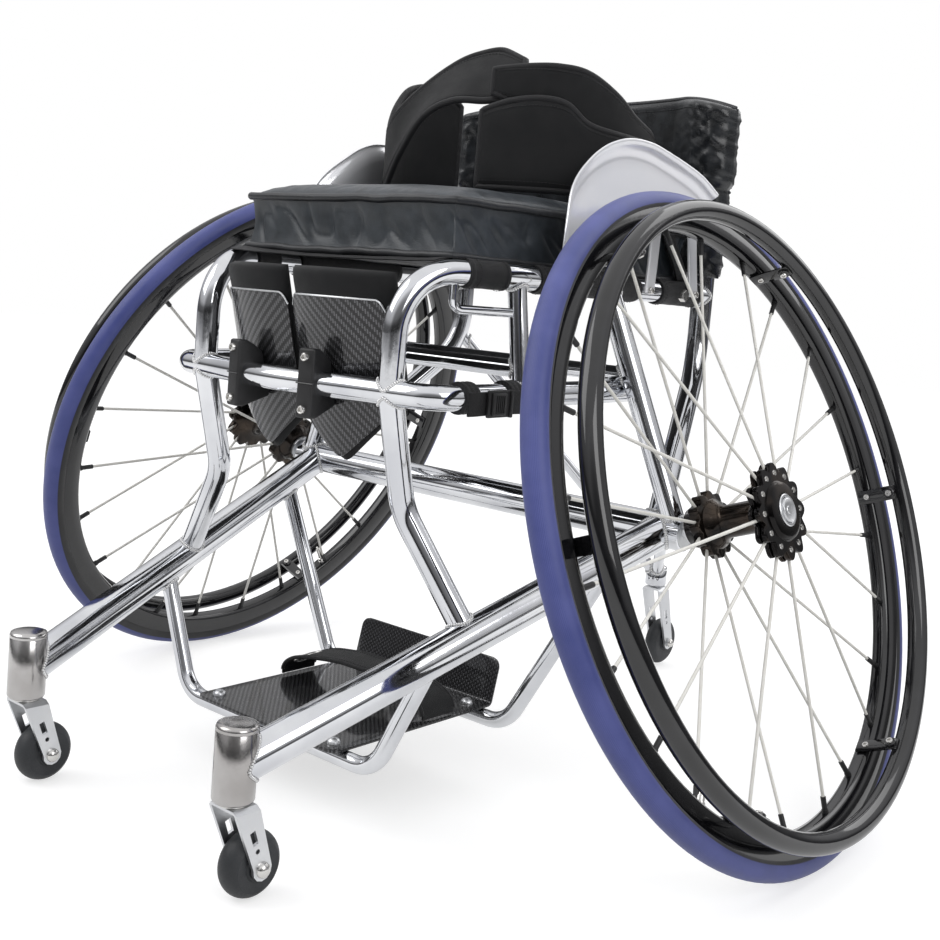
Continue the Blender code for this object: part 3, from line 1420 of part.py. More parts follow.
def build_belt():
    """Two pads stand on the cushion; their flaps meet in front, and a strap holds each to its rail."""
    belt = piece("waist_belt", belt_band_mesh("waist_belt", BELT_LEFT_PAD), NEOPRENE)
    flap = belt_band_mesh("left_belt_flap", BELT_LEFT_FLAP)
    wing = belt_band_mesh("right_belt_wing", BELT_RIGHT_WING)
    join(belt, helper("left_belt_flap", flap), helper("right_belt_wing", wing))
    foot_z = RAIL_Z + FRAME_TUBE_RADIUS + WELD_GAP + SLING_THICKNESS + SOFT_GAP
    for name, side in (("left", 1), ("right", -1)):
        strap = []
        for x, y, z in ((BELT_STRAP_FOOT_X, BELT_STRAP_FOOT_Y, foot_z), BELT_STRAP_TOP):
            strap.append(
                [
                    (side * (x + u * BELT_STRAP_THICKNESS / 2), y + v * BELT_STRAP_WIDTH / 2, z)
                    for u, v in ((-1, -1), (1, -1), (1, 1), (-1, 1))
                ]
            )
        join(belt, helper(name + "_belt_strap", band_mesh(name + "_belt_strap", strap)))


def build_knee_strap(knee):
    """Webbing along the left side run of the knee bar, looped round it, with a cam buckle."""
    front, rear = knee_bar_side(KNEE_STRAP_FRONT_Y), knee_bar_side(KNEE_STRAP_REAR_Y)
    out = FRAME_TUBE_RADIUS + SOFT_GAP + KNEE_STRAP_THICKNESS / 2
    middle = (front + rear) / 2
    band = box_mesh(
        "knee_strap",
        (KNEE_STRAP_THICKNESS, (rear - front).length, KNEE_STRAP_HEIGHT),
        (middle.x + out, middle.y, middle.z - KNEE_STRAP_HEIGHT * 0.2),
    )
    strap = piece("knee_strap", band, NEOPRENE)
    thick = KNEE_BUCKLE[0]
    buckle_at = (middle.x + out + thick / 2, middle.y, middle.z - KNEE_STRAP_HEIGHT * 0.2)
    buckle = box_mesh("knee_buckle", KNEE_BUCKLE, buckle_at)
    join(strap, helper("knee_buckle", buckle))
    run = (rear - front).normalized()
    for index, start in enumerate((front, rear - run * KNEE_LOOP_LENGTH)):
        mesh = sweep_mesh(
            "knee_loop",
            [start, start + run * KNEE_LOOP_LENGTH],
            FRAME_TUBE_RADIUS + SOFT_GAP + KNEE_STRAP_THICKNESS,
            FRAME_SIDES,
        )
        join(strap, helper(f"knee_loop_{index}", mesh))
    cut(strap, knee.cutter())


def build_chair():
    side_tubes = {}
    knee = build_frame(side_tubes)
    sides = list(side_tubes.values())
    for name, side in (("left", 1), ("right", -1)):
        build_wheel(name, side)
        build_front_caster(name, side)
        build_knee_support(name, side)
        build_side_guard(name, side)
    build_antitip_caster()
    build_footrest()
    build_sling(sides)
    build_cushion()
    build_back(sides)
    build_belt()
    build_knee_strap(knee)


build_chair()
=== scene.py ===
# %% [markdown]
# # A court wheelchair in polished tube
# This lesson dresses a finished mechanical model of a court wheelchair. The solids, their sizes and
# their joints come packed. Each cell adds one real piece: tubes, wheels, casters, carbon plates and
# soft goods, and the finish that belongs to it.

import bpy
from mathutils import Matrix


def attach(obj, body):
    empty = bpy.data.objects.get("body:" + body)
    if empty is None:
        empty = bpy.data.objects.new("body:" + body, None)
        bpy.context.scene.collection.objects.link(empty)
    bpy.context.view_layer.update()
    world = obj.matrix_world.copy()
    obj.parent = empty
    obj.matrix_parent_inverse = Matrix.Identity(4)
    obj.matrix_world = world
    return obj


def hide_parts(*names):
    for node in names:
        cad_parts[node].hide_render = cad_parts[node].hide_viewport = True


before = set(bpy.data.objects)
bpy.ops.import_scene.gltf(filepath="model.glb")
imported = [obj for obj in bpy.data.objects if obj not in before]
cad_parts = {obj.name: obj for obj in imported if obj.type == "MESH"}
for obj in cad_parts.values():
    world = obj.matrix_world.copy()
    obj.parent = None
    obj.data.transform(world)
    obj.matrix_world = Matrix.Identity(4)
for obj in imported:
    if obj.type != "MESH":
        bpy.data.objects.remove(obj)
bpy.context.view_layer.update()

# %% Tools that every cell uses
from math import atan2, ceil, cos, pi, radians, sin, sqrt, tan

import bmesh
import bpy
from mathutils import Matrix, Vector, noise

# %% [markdown]
# ## The camera
# A product photograph is matched by putting the camera where the photographer stood. Points on the
# chair whose places are known fix its place, its turn and its focal length. The lens shift moves the
# picture on the sensor, as a crop of the photograph does.

# %% The camera
MIDDLE_Y = 0.00475
PICTURE = 940
FOCAL_PIXELS = 1258.93
PICTURE_CENTRE = (436.58, 411.09)
camera_data = bpy.data.cameras.new("photo_camera")
camera_data.sensor_width = 36
camera_data.lens = FOCAL_PIXELS / PICTURE * camera_data.sensor_width
camera_data.shift_x = (PICTURE / 2 - PICTURE_CENTRE[0]) / PICTURE
camera_data.shift_y = (PICTURE_CENTRE[1] - PICTURE / 2) / PICTURE
camera_data.clip_start = 0.01
camera = bpy.data.objects.new("photo_camera", camera_data)
right, up = Vector((0.74797, 0.65899, 0.0792)), Vector((-0.12135, 0.01846, 0.99244))
standpoint = Matrix.Translation((0.83353, -1.02613 - MIDDLE_Y, 0.46791))
camera.matrix_world = standpoint @ Matrix((right, up, right.cross(up))).transposed().to_4x4()
bpy.context.scene.collection.objects.link(camera)
bpy.context.scene.camera = camera
print("camera lens", round(camera_data.lens, 2))

# %% [markdown]
# ## A helper for node trees
# Materials and Geometry Nodes are both trees of nodes. One small helper adds a node, sets its inputs
# and joins what feeds them, so that each tree below reads as a list of steps.

# %% One helper for every node tree
def node(tree, kind, values=(), **settings):
    made = tree.nodes.new(kind)
    for key, value in settings.items():
        setattr(made, key, value)
    for key, value in dict(values).items():
        if isinstance(value, bpy.types.NodeSocket):
            tree.links.new(value, made.inputs[key])
        else:
            made.inputs[key].default_value = value
    return made


def maths(tree, operation, *values):
    return node(tree, "ShaderNodeMath", dict(enumerate(values)), operation=operation).outputs[0]


def ramp(tree, factor, low, high, to_low=0.0, to_high=1.0):
    """A value clamped and stretched from one range to another."""
    keys = {0: factor, 1: low, 2: high, 3: to_low, 4: to_high}
    return node(tree, "ShaderNodeMapRange", keys, clamp=True).outputs[0]


def mixed(tree, factor, low, high):
    return node(tree, "ShaderNodeMix", {0: factor, 2: low, 3: high}).outputs[0]


# %% [markdown]
# ## Shared surface effects
# Grain, weave and dust show on many finishes, so each is a shader node group, built once. A group
# only puts out masks, values and normals. Each material keeps its own shader and decides what to do
# with them.

# %% Shader groups
def shader_group(name, inputs, outputs):
    tree = bpy.data.node_groups.new(name, "ShaderNodeTree")
    for label, kind, value in inputs:
        socket = tree.interface.new_socket(label, in_out="INPUT", socket_type=kind)
        if value is not None:
            socket.default_value = value
    for label, kind in outputs:
        tree.interface.new_socket(label, in_out="OUTPUT", socket_type=kind)
    start = tree.nodes.new("NodeGroupInput")
    end = tree.nodes.new("NodeGroupOutput")
    return tree, start.outputs, end.inputs


FLOAT, VECTOR = "NodeSocketFloat", "NodeSocketVector"

grain_group, given, result = shader_group(
    "fine_grain",
    [("Vector", VECTOR, None), ("Scale", FLOAT, 400.0), ("Depth", FLOAT, 0.2), ("Size", FLOAT, 0.0002)],
    [("Mask", FLOAT), ("Normal", VECTOR)],
)
grain_noise = node(
    grain_group, "ShaderNodeTexNoise", {"Vector": given["Vector"], "Scale": given["Scale"], "Detail": 3.0}
)
grain_bump = node(
    grain_group,
    "ShaderNodeBump",
    {"Strength": given["Depth"], "Distance": given["Size"], "Height": grain_noise.outputs[0]},
)
grain_group.links.new(grain_noise.outputs[0], result["Mask"])
grain_group.links.new(grain_bump.outputs[0], result["Normal"])

pebble_group, given, result = shader_group(
    "pebbled_skin",
    [("Vector", VECTOR, None), ("Scale", FLOAT, 700.0), ("Depth", FLOAT, 0.3), ("Size", FLOAT, 0.0004)],
    [("Mask", FLOAT), ("Normal", VECTOR)],
)
pebbles = node(
    pebble_group, "ShaderNodeTexVoronoi", {"Vector": given["Vector"], "Scale": given["Scale"]}
)
crease_scale = maths(pebble_group, "MULTIPLY", given["Scale"], 0.07)
crease = node(
    pebble_group, "ShaderNodeTexNoise", {"Vector": given["Vector"], "Scale": crease_scale, "Detail": 5.0}
)
pebble_height = maths(
    pebble_group,
    "ADD",
    maths(pebble_group, "MULTIPLY", pebbles.outputs["Distance"], -1.0),
    maths(pebble_group, "MULTIPLY", crease.outputs[0], 1.6),
)
pebble_bump = node(
    pebble_group,
    "ShaderNodeBump",
    {"Strength": given["Depth"], "Distance": given["Size"], "Height": pebble_height},
)
pebble_group.links.new(crease.outputs[0], result["Mask"])
pebble_group.links.new(pebble_bump.outputs[0], result["Normal"])

weave_group, given, result = shader_group(
    "woven_tows",
    [("UV", VECTOR, None), ("Tow", FLOAT, 0.0018), ("Twill", FLOAT, 0.5), ("Size", FLOAT, 0.0002)],
    [("Warp", FLOAT), ("Height", FLOAT), ("Normal", VECTOR)],
)
split = node(weave_group, "ShaderNodeSeparateXYZ", {0: given["UV"]})
across = maths(weave_group, "DIVIDE", split.outputs[0], given["Tow"])
along = maths(weave_group, "DIVIDE", split.outputs[1], given["Tow"])
column, row = maths(weave_group, "FLOOR", across), maths(weave_group, "FLOOR", along)
# In a twill each row steps one tow sideways, and in a plain weave warp and weft take turns.
step = maths(weave_group, "MULTIPLY", maths(weave_group, "ADD", column, row), given["Twill"])
half_steps = maths(weave_group, "FRACT", maths(weave_group, "MULTIPLY", step, 0.5))
on_top = maths(weave_group, "LESS_THAN", half_steps, 0.4999)


def ridge(tows):
    """The round back of a tow: 0 at its two edges and 1 in the middle."""
    return maths(weave_group, "SINE", maths(weave_group, "MULTIPLY", maths(weave_group, "FRACT", tows), pi))


height = mixed(weave_group, on_top, ridge(along), ridge(across))
weave_bump = node(
    weave_group, "ShaderNodeBump", {"Strength": 0.6, "Distance": given["Size"], "Height": height}
)
weave_group.links.new(on_top, result["Warp"])
weave_group.links.new(height, result["Height"])
weave_group.links.new(weave_bump.outputs[0], result["Normal"])
print("shader groups", len(bpy.data.node_groups))

# %% [markdown]
# ## Finishes
# Every finish starts from the Principled shader. What is the same all over goes on its own sockets.
# What changes over the surface, such as a smudge, a tow or a scuff, comes from nodes.

# %% A finish and its parts
def finish(name, roughness=0.5, metallic=0.0, **sockets):
    made = bpy.data.materials.new(name)
    made.use_nodes = True
    tree = made.node_tree
    shader = tree.nodes["Principled BSDF"]
    shader.inputs["Roughness"].default_value = roughness
    shader.inputs["Metallic"].default_value = metallic
    for key, value in sockets.items():
        shader.inputs[key.replace("_", " ")].default_value = value
    place = node(tree, "ShaderNodeTexCoord").outputs["Object"]
    return made, tree, shader, place


def shaded(tree, shader, mask, dark, light):
    """A colour that runs between two as the mask goes from 0 to 1."""
    mix = node(tree, "ShaderNodeMix", {0: mask, 6: (*dark, 1), 7: (*light, 1)}, data_type="RGBA")
    tree.links.new(mix.outputs[2], shader.inputs["Base Color"])


def add_group(tree, group, values):
    return node(tree, "ShaderNodeGroup", values, node_tree=group).outputs


def grained(tree, shader, place, group, rough, **values):
    """Grain or pebbles in the normal, and a roughness that follows them between two values."""
    keys = {"Vector": place} | {key.title(): value for key, value in values.items()}
    made = add_group(tree, group, keys)
    tree.links.new(made["Normal"], shader.inputs["Normal"])
    tree.links.new(ramp(tree, made["Mask"], 0.3, 0.7, *rough), shader.inputs["Roughness"])
    return made["Mask"]


# %% Polished and satin aluminium, and steel
def metal_finish(name, dark, light, rough, scale, depth, metallic=1.0):
    """Metal with hairline polishing marks and faint cloudy smudges."""
    made, tree, shader, place = finish(name, metallic=metallic)
    cloud = node(tree, "ShaderNodeTexNoise", {"Vector": place, "Scale": 14.0, "Detail": 4.0})
    shaded(tree, shader, ramp(tree, cloud.outputs[0], 0.35, 0.65), dark, light)
    grained(tree, shader, place, grain_group, rough, scale=scale, depth=depth, size=0.00005)
    return made


POLISHED = metal_finish(
    "polished_aluminium", (0.60, 0.61, 0.64), (0.76, 0.77, 0.79), (0.04, 0.11), scale=260.0, depth=0.05
)
SATIN = metal_finish(
    "satin_aluminium", (0.60, 0.61, 0.63), (0.72, 0.73, 0.74), (0.28, 0.40), scale=900.0, depth=0.25
)
STEEL = metal_finish(
    "bright_steel", (0.55, 0.54, 0.52), (0.70, 0.69, 0.67), (0.14, 0.26), scale=700.0, depth=0.12
)
GUARD_SHEET = metal_finish(
    "pale_polished_sheet", (0.93, 0.94, 0.97), (0.98, 0.98, 1.0), (0.14, 0.24), scale=900.0, depth=0.02,
    metallic=0.35,
)
BRUSHED = metal_finish(
    "brushed_aluminium", (0.38, 0.365, 0.355), (0.58, 0.57, 0.565), (0.15, 0.24), scale=500.0, depth=0.10
)
WELD = metal_finish(
    "weld_metal", (0.62, 0.62, 0.62), (0.80, 0.80, 0.80), (0.16, 0.30), scale=900.0, depth=0.3
)

# %% Gloss black paint, satin black metal and black plastic
def black_finish(name, dark, light, rough, scale, depth, metallic=0.0, **sockets):
    made, tree, shader, place = finish(name, metallic=metallic, **sockets)
    dust = node(tree, "ShaderNodeTexNoise", {"Vector": place, "Scale": 30.0, "Detail": 6.0})
    shaded(tree, shader, ramp(tree, dust.outputs[0], 0.45, 0.75), dark, light)
    grained(tree, shader, place, grain_group, rough, scale=scale, depth=depth, size=0.0001)
    return made


GLOSS_BLACK = black_finish(
    "gloss_black", (0.006, 0.006, 0.007), (0.014, 0.014, 0.016), (0.04, 0.10), scale=160.0, depth=0.06,
    Specular_IOR_Level=0.7,
)
HUB_BLACK = black_finish(
    "anodised_black", (0.012, 0.011, 0.011), (0.075, 0.056, 0.042), (0.09, 0.18), scale=500.0, depth=0.06,
    metallic=0.8,
)
MATT_BLACK = black_finish(
    "moulded_black", (0.012, 0.012, 0.013), (0.026, 0.026, 0.028), (0.42, 0.58), scale=1200.0, depth=0.25
)
CASTER_RUBBER = black_finish(
    "caster_urethane", (0.020, 0.022, 0.025), (0.045, 0.048, 0.052), (0.45, 0.62), scale=800.0, depth=0.2
)

# %% Spokes
SPOKE_WHITE, tree, shader, place = finish("cream_spoke", roughness=0.32)
spoke_tone = node(tree, "ShaderNodeTexNoise", {"Vector": place, "Scale": 90.0})
shaded(tree, shader, spoke_tone.outputs[0], (0.78, 0.76, 0.70), (0.92, 0.91, 0.87))
grained(tree, shader, place, grain_group, (0.28, 0.42), scale=900.0, depth=0.1, size=0.00005)

# %% [markdown]
# The tyre is two rubbers: a lavender blue tread between thin black side walls. Its own UV map runs
# across the section, so a ramp on that axis colours the walls, wherever the wheel has turned.

# %% Tyre rubber
TYRE_BLUE, tree, shader, place = finish("lavender_blue_rubber", Sheen_Weight=0.15, Sheen_Roughness=0.5)
tyre_uv = node(tree, "ShaderNodeSeparateXYZ", {0: node(tree, "ShaderNodeTexCoord").outputs["UV"]})
from_crown = maths(tree, "ABSOLUTE", maths(tree, "SUBTRACT", tyre_uv.outputs[0], 0.5))
wear = node(tree, "ShaderNodeTexNoise", {"Vector": place, "Scale": 24.0, "Detail": 6.0})
blue = node(
    tree,
    "ShaderNodeMix",
    {0: ramp(tree, wear.outputs[0], 0.35, 0.7), 6: (0.052, 0.068, 0.255, 1), 7: (0.092, 0.110, 0.340, 1)},
    data_type="RGBA",
)
# Fine ribs run round the tread, and the black wall starts where the casing is glued.
side_wall = ramp(tree, from_crown, 0.330, 0.345)
tyre_colour = node(
    tree, "ShaderNodeMix", {0: side_wall, 6: blue.outputs[2], 7: (0.012, 0.012, 0.013, 1)}, data_type="RGBA"
)
tree.links.new(tyre_colour.outputs[2], shader.inputs["Base Color"])
ribs = maths(tree, "SINE", maths(tree, "MULTIPLY", tyre_uv.outputs[0], 260.0))
rib_depth = maths(tree, "MULTIPLY", ribs, ramp(tree, from_crown, 0.10, 0.14, 1.0, 0.0))
rubber_grain = node(tree, "ShaderNodeTexNoise", {"Vector": place, "Scale": 900.0})
tyre_height = maths(tree, "ADD", rib_depth, rubber_grain.outputs[0])
tyre_bump = node(tree, "ShaderNodeBump", {"Strength": 0.25, "Distance": 0.0003, "Height": tyre_height})
tree.links.new(tyre_bump.outputs[0], shader.inputs["Normal"])
tree.links.new(ramp(tree, wear.outputs[0], 0.3, 0.7, 0.42, 0.6), shader.inputs["Roughness"])

# %% [markdown]
# Carbon fibre is cloth in clear resin. The tows of warp and weft catch the light in turn, and that light is
# painted
# into the colour: the weave group lightens the ridges of the tows on a dark base, the warp far more than the
# weft, as a painted highlight, and changes the roughness, and a clear coat lies over it.

# %% Carbon fibre in two weaves
def carbon_finish(name, tow, twill, light):
    made, tree, shader, _ = finish(name, metallic=0.55, Coat_Weight=0.7, Coat_Roughness=0.06)
    uv = node(tree, "ShaderNodeTexCoord").outputs["UV"]
    tows = add_group(tree, weave_group, {"UV": uv, "Tow": tow, "Twill": twill, "Size": 0.00025})
    # Painted highlight: the middle of each tow, and most of all each warp tow, is made lighter in colour for
    # the light that it catches.
    sharp_ridge = maths(tree, "POWER", tows["Height"], 2.0)
    warp_share = maths(tree, "ADD", maths(tree, "MULTIPLY", tows["Warp"], 0.92), 0.08)
    painted_tow_highlight = maths(tree, "MULTIPLY", sharp_ridge, warp_share)
    shaded(tree, shader, painted_tow_highlight, (0.003, 0.003, 0.004), (light, light, light * 1.06))
    tree.links.new(ramp(tree, tows["Warp"], 0.0, 1.0, 0.50, 0.24), shader.inputs["Roughness"])
    tree.links.new(tows["Normal"], shader.inputs["Normal"])
    return made


CARBON_TWILL = carbon_finish("carbon_twill", 0.0021, 0.5, 0.125)
CARBON_PLAIN = carbon_finish("carbon_plain", 0.0028, 1.0, 0.12)

# %% Vinyl, neoprene, webbing and thread
def vinyl_finish(name, dark, light, rough):
    made, tree, shader, place = finish(name, Sheen_Weight=0.05, Sheen_Roughness=0.4)
    mask = grained(tree, shader, place, pebble_group, rough, scale=900.0, depth=0.35, size=0.0003)
    shaded(tree, shader, ramp(tree, mask, 0.3, 0.75), dark, light)
    return made


def cloth_finish(name, dark, light, thread, rough):
    """A knitted or woven face: tiny crossed ridges on the piece's own UV map."""
    made, tree, shader, place = finish(name, Sheen_Weight=0.10, Sheen_Roughness=0.45, Specular_IOR_Level=0.3)
    uv = node(tree, "ShaderNodeTexCoord").outputs["UV"]
    tows = add_group(tree, weave_group, {"UV": uv, "Tow": thread, "Twill": 1.0, "Size": thread * 0.2})
    lint = node(tree, "ShaderNodeTexNoise", {"Vector": place, "Scale": 60.0, "Detail": 6.0})
    # Painted shade: the colour darkens into the hollows between the threads' ridges, and a lint tone that
    # differs at random is mixed in.
    shade = maths(tree, "MULTIPLY", tows["Height"], ramp(tree, lint.outputs[0], 0.3, 0.7, 0.45, 1.0))
    shaded(tree, shader, shade, dark, light)
    tree.links.new(ramp(tree, lint.outputs[0], 0.3, 0.7, *rough), shader.inputs["Roughness"])
    tree.links.new(tows["Normal"], shader.inputs["Normal"])
    return made


VINYL = vinyl_finish("slate_black_vinyl", (0.020, 0.025, 0.030), (0.048, 0.057, 0.067), (0.30, 0.42))
BACK_VINYL = vinyl_finish("gloss_black_vinyl", (0.008, 0.009, 0.010), (0.024, 0.027, 0.031), (0.15, 0.26))
PIPING = vinyl_finish("piping_vinyl", (0.010, 0.011, 0.013), (0.024, 0.026, 0.030), (0.34, 0.44))
NEOPRENE = cloth_finish(
    "knit_faced_neoprene", (0.003, 0.0032, 0.0036), (0.011, 0.0115, 0.013), thread=0.0009, rough=(0.62, 0.78)
)
WEBBING = cloth_finish(
    "black_webbing", (0.005, 0.005, 0.006), (0.026, 0.026, 0.028), thread=0.0016, rough=(0.5, 0.68)
)
THREAD = cloth_finish("thread", (0.02, 0.02, 0.022), (0.055, 0.055, 0.06), thread=0.0006, rough=(0.5, 0.6))
print("finishes", len(bpy.data.materials))

# %% [markdown]
# ## Studio
# Polished tube shows its surroundings more than itself. A pale room with a dark horizon, darker still
# behind the photographer, gives the tubes bright flanks and dark centre lines, while the camera sees
# plain white.

# %% Floor, room and lamps
world = bpy.data.worlds.new("studio")
bpy.context.scene.world = world
world.use_nodes = True
tree = world.node_tree
sky = tree.nodes["Background"]
direction = node(tree, "ShaderNodeTexCoord").outputs["Generated"]
heights = node(tree, "ShaderNodeSeparateXYZ", {0: direction})
room = node(tree, "ShaderNodeValToRGB", {0: ramp(tree, heights.outputs[2], -1.0, 1.0)})
room.color_ramp.elements[0].color = (0.80, 0.80, 0.80, 1)
room.color_ramp.elements[1].color = (1.0, 1.0, 1.0, 1)
# Each stop is a height in the room, from 0 underfoot to 1 overhead, and its brightness there.
ROOM_STOPS = ((0.485, 0.50), (0.503, 0.08), (0.555, 0.14), (0.61, 0.48), (0.75, 0.74), (0.86, 0.98))
for position, shade in ROOM_STOPS:
    stop = room.color_ramp.elements.new(position)
    stop.color = (shade, shade, shade * 1.02, 1)
# The room is darker behind the photographer, which gives upright tubes a dark line between bright flanks.
towards = [maths(tree, "MULTIPLY", heights.outputs[axis], share) for axis, share in ((0, 0.63), (1, 0.78))]
facing = maths(tree, "SUBTRACT", *towards)
panel = ramp(tree, facing, 0.70, 0.90, 1.0, 0.35)
lit_room = node(tree, "ShaderNodeVectorMath", {0: room.outputs[0], "Scale": panel}, operation="SCALE")
seen = node(tree, "ShaderNodeLightPath").outputs["Is Camera Ray"]
backdrop = node(tree, "ShaderNodeMix", {0: seen, 6: lit_room.outputs[0], 7: (1, 1, 1, 1)}, data_type="RGBA")
tree.links.new(backdrop.outputs[2], sky.inputs["Color"])
sky.inputs["Strength"].default_value = 1.0

FLOOR_HALF, FLOOR_Z = 9, -0.0004
floor_mesh = bpy.data.meshes.new("floor")
floor_corners = [(x * FLOOR_HALF, y * FLOOR_HALF, 0) for x, y in ((-1, -1), (1, -1), (1, 1), (-1, 1))]
floor_mesh.from_pydata(floor_corners, [], [(0, 1, 2, 3)])
studio_floor = bpy.data.objects.new("floor", floor_mesh)
studio_floor.location.z = FLOOR_Z
bpy.context.scene.collection.objects.link(studio_floor)
FLOOR, tree, shader, place = finish("pale_floor", roughness=0.9, Specular_IOR_Level=0.1)
floor_tone = node(tree, "ShaderNodeTexNoise", {"Vector": place, "Scale": 3.0})
shaded(tree, shader, floor_tone.outputs[0], (0.50, 0.50, 0.50), (0.52, 0.52, 0.52))
path = node(tree, "ShaderNodeLightPath").outputs
shown = maths(tree, "ADD", path["Is Camera Ray"], maths(tree, "MULTIPLY", path["Is Glossy Ray"], 0.75))
tree.links.new(maths(tree, "MULTIPLY", shown, 0.62), shader.inputs["Emission Strength"])
shader.inputs["Emission Color"].default_value = (1, 1, 1, 1)
floor_mesh.materials.append(FLOOR)

for name, place, size, power in (
    ("key", (-1.6, -2.0, 2.6), 2.2, 34),
    ("side", (2.6, -0.6, 1.8), 1.6, 22),
    ("behind", (0.4, 2.6, 2.2), 2.0, 18),
):
    lamp = bpy.data.lights.new(name, "AREA")
    lamp.size = size
    lamp.energy = power
    holder = bpy.data.objects.new(name, lamp)
    holder.location = place
    holder.rotation_euler = (Vector((0, 0, 0.3)) - Vector(place)).to_track_quat("-Z", "Y").to_euler()
    bpy.context.scene.collection.objects.link(holder)
bpy.context.scene.view_settings.view_transform = "Standard"
print("studio ready")

# %% [markdown]
# ## From numbers to pieces
# Places below are measured from the wheel axle line, as on a workshop drawing, and `add_piece` moves
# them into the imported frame. It keeps each object at the origin, gives it its finish, hides the plain
# solid that it stands for, and lets it ride on the body that carries it.


def add_piece(name, mesh, material, body="frame", replaces=(), sharp=40):
    """Puts a mesh, measured from the axle line, into the frame as a finished piece."""
    mesh.transform(Matrix.Translation((0, -MIDDLE_Y, 0)))
    mesh.materials.clear()
    mesh.materials.append(material)
    mesh.shade_smooth()
    mesh.set_sharp_from_angle(angle=radians(sharp))
    made = bpy.data.objects.new(name, mesh)
    bpy.context.scene.collection.objects.link(made)
    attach(made, body)
    if replaces:
        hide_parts(*([replaces] if isinstance(replaces, str) else replaces))
    return made


def loft(name, rings, closed=True, loop=False, caps=True, scale=(1, 1)):
    """Skin over rows of points. The UV map runs along and across the rows, in metres where asked."""
    mesh = bpy.data.meshes.new(name)
    shape = bmesh.new()
    uv = shape.loops.layers.uv.new("UVMap")
    grid = [[shape.verts.new(p) for p in ring] for ring in rings]
    count, rows = len(grid[0]), len(grid)
    for j in range(rows if loop else rows - 1):
        near, far = grid[j], grid[(j + 1) % rows]
        for i in range(count if closed else count - 1):
            k = (i + 1) % count
            face = shape.faces.new((near[i], near[k], far[k], far[i]))
            places = ((i, j), (i + 1, j), (i + 1, j + 1), (i, j + 1))
            for corner, (a, b) in zip(face.loops, places):
                corner[uv].uv = (a / (count - (not closed)) * scale[0], b / (rows - (not loop)) * scale[1])
    if caps and not loop and closed:
        for ring in (grid[0], grid[-1]):
            centre = shape.verts.new(sum((v.co for v in ring), Vector()) / count)
            for i in range(count):
                face = shape.faces.new((ring[i], ring[(i + 1) % count], centre))
                for corner in face.loops:
                    corner[uv].uv = (corner.vert.co.x, corner.vert.co.y)
    bmesh.ops.remove_doubles(shape, verts=shape.verts, dist=0.000001)
    bmesh.ops.recalc_face_normals(shape, faces=shape.faces)
    shape.to_mesh(mesh)
    shape.free()
    return mesh


def joined(name, *meshes):
    """Several closed meshes as one."""
    shape = bmesh.new()
    for mesh in meshes:
        shape.from_mesh(mesh)
    made = bpy.data.meshes.new(name)
    shape.to_mesh(made)
    shape.free()
    return made


def spaced(start, end, count):
    """Evenly spaced values from start to end, both included."""
    return [start + (end - start) * i / count for i in range(count + 1)]


def around(count):
    """The angles of so many even steps round a circle."""
    return [2 * pi * i / count for i in range(count)]


def mirrored(points, side):
    return [Vector((side * p[0], p[1], p[2])) for p in points]


def rounded_path(corners, radii, step=radians(5)):
    """Straight runs joined by bends of the given radii, as a tube bender makes them."""
    corners = [Vector(p) for p in corners]
    points = [corners[0]]
    for before, corner, after, radius in zip(corners, corners[1:], corners[2:], radii):
        back, ahead = (before - corner).normalized(), (after - corner).normalized()
        turn = pi - back.angle(ahead)
        centre = corner + (back + ahead).normalized() * radius / cos(turn / 2)
        start = corner + back * radius * tan(turn / 2) - centre
        axis = start.cross(corner + ahead * radius * tan(turn / 2) - centre)
        count = max(3, ceil(turn / step))
        points += [centre + Matrix.Rotation(turn * i / count, 3, axis) @ start for i in range(count + 1)]
    points.append(corners[-1])
    return points


def frames_along(points, loop=False):
    """A side and an up direction at every point that never twist suddenly."""
    points = [Vector(p) for p in points]
    count = len(points)
    runs = []
    for i in range(count):
        before = points[i - 1] if (i or loop) else points[0]
        after = points[(i + 1) % count] if (i < count - 1 or loop) else points[-1]
        runs.append((after - before).normalized())
    side = runs[0].orthogonal().normalized()
    made = []
    for run in runs:
        side = (side - run * side.dot(run)).normalized()
        made.append((side, run.cross(side)))
    return made


def tube_mesh(name, points, radius, sides=24, loop=False):
    """A round tube along the points. The radius may be one number or one for each point."""
    radii = radius if hasattr(radius, "__len__") else [radius] * len(points)
    rings = []
    for point, size, (side, rise) in zip(points, radii, frames_along(points, loop)):
        rings.append([Vector(point) + (side * cos(a) + rise * sin(a)) * size for a in around(sides)])
    return loft(name, rings, loop=loop, scale=(2 * pi * max(radii), 1))


def lathe(name, profile, steps, matrix=None, closed=False, lobes=0):
    """A profile of (radius, height) or (radius, height, lobe depth) turned about Z."""
    rings = []
    for a in around(steps):
        ring = []
        for radius, height, *lobe in profile:
            swell = lobe[0] * (0.5 + 0.5 * cos(lobes * a)) ** 0.7 if lobe else 0
            ring.append(Vector(((radius + swell) * cos(a), (radius + swell) * sin(a), height)))
        rings.append(ring)
    mesh = loft(name, rings, closed=closed, loop=True)
    if matrix is not None:
        mesh.transform(matrix)
    return mesh


def along_axis(start, end):
    """The matrix that stands a turned piece on start, pointing to end."""
    start, end = Vector(start), Vector(end)
    return Matrix.Translation(start) @ (end - start).to_track_quat("Z", "X").to_matrix().to_4x4()


def on_line(start, end, axis, value):
    start, end = Vector(start), Vector(end)
    return start.lerp(end, (value - start[axis]) / (end[axis] - start[axis]))


SIDES = (("left", 1), ("right", -1))
print("helpers ready")

# %% [markdown]
# ## The welded frame
# The frame is aluminium tube, bent, coped where it meets its neighbour and welded. A tube is a circle
# swept along a centre line, so the centre lines are all that has to be right. They are the ones of the
# solids, with finer bends and rounder tubes.

# %% Centre lines
CAMBER_BAR_HALF, CAMBER_BAR_Z = 0.2590, 0.26324
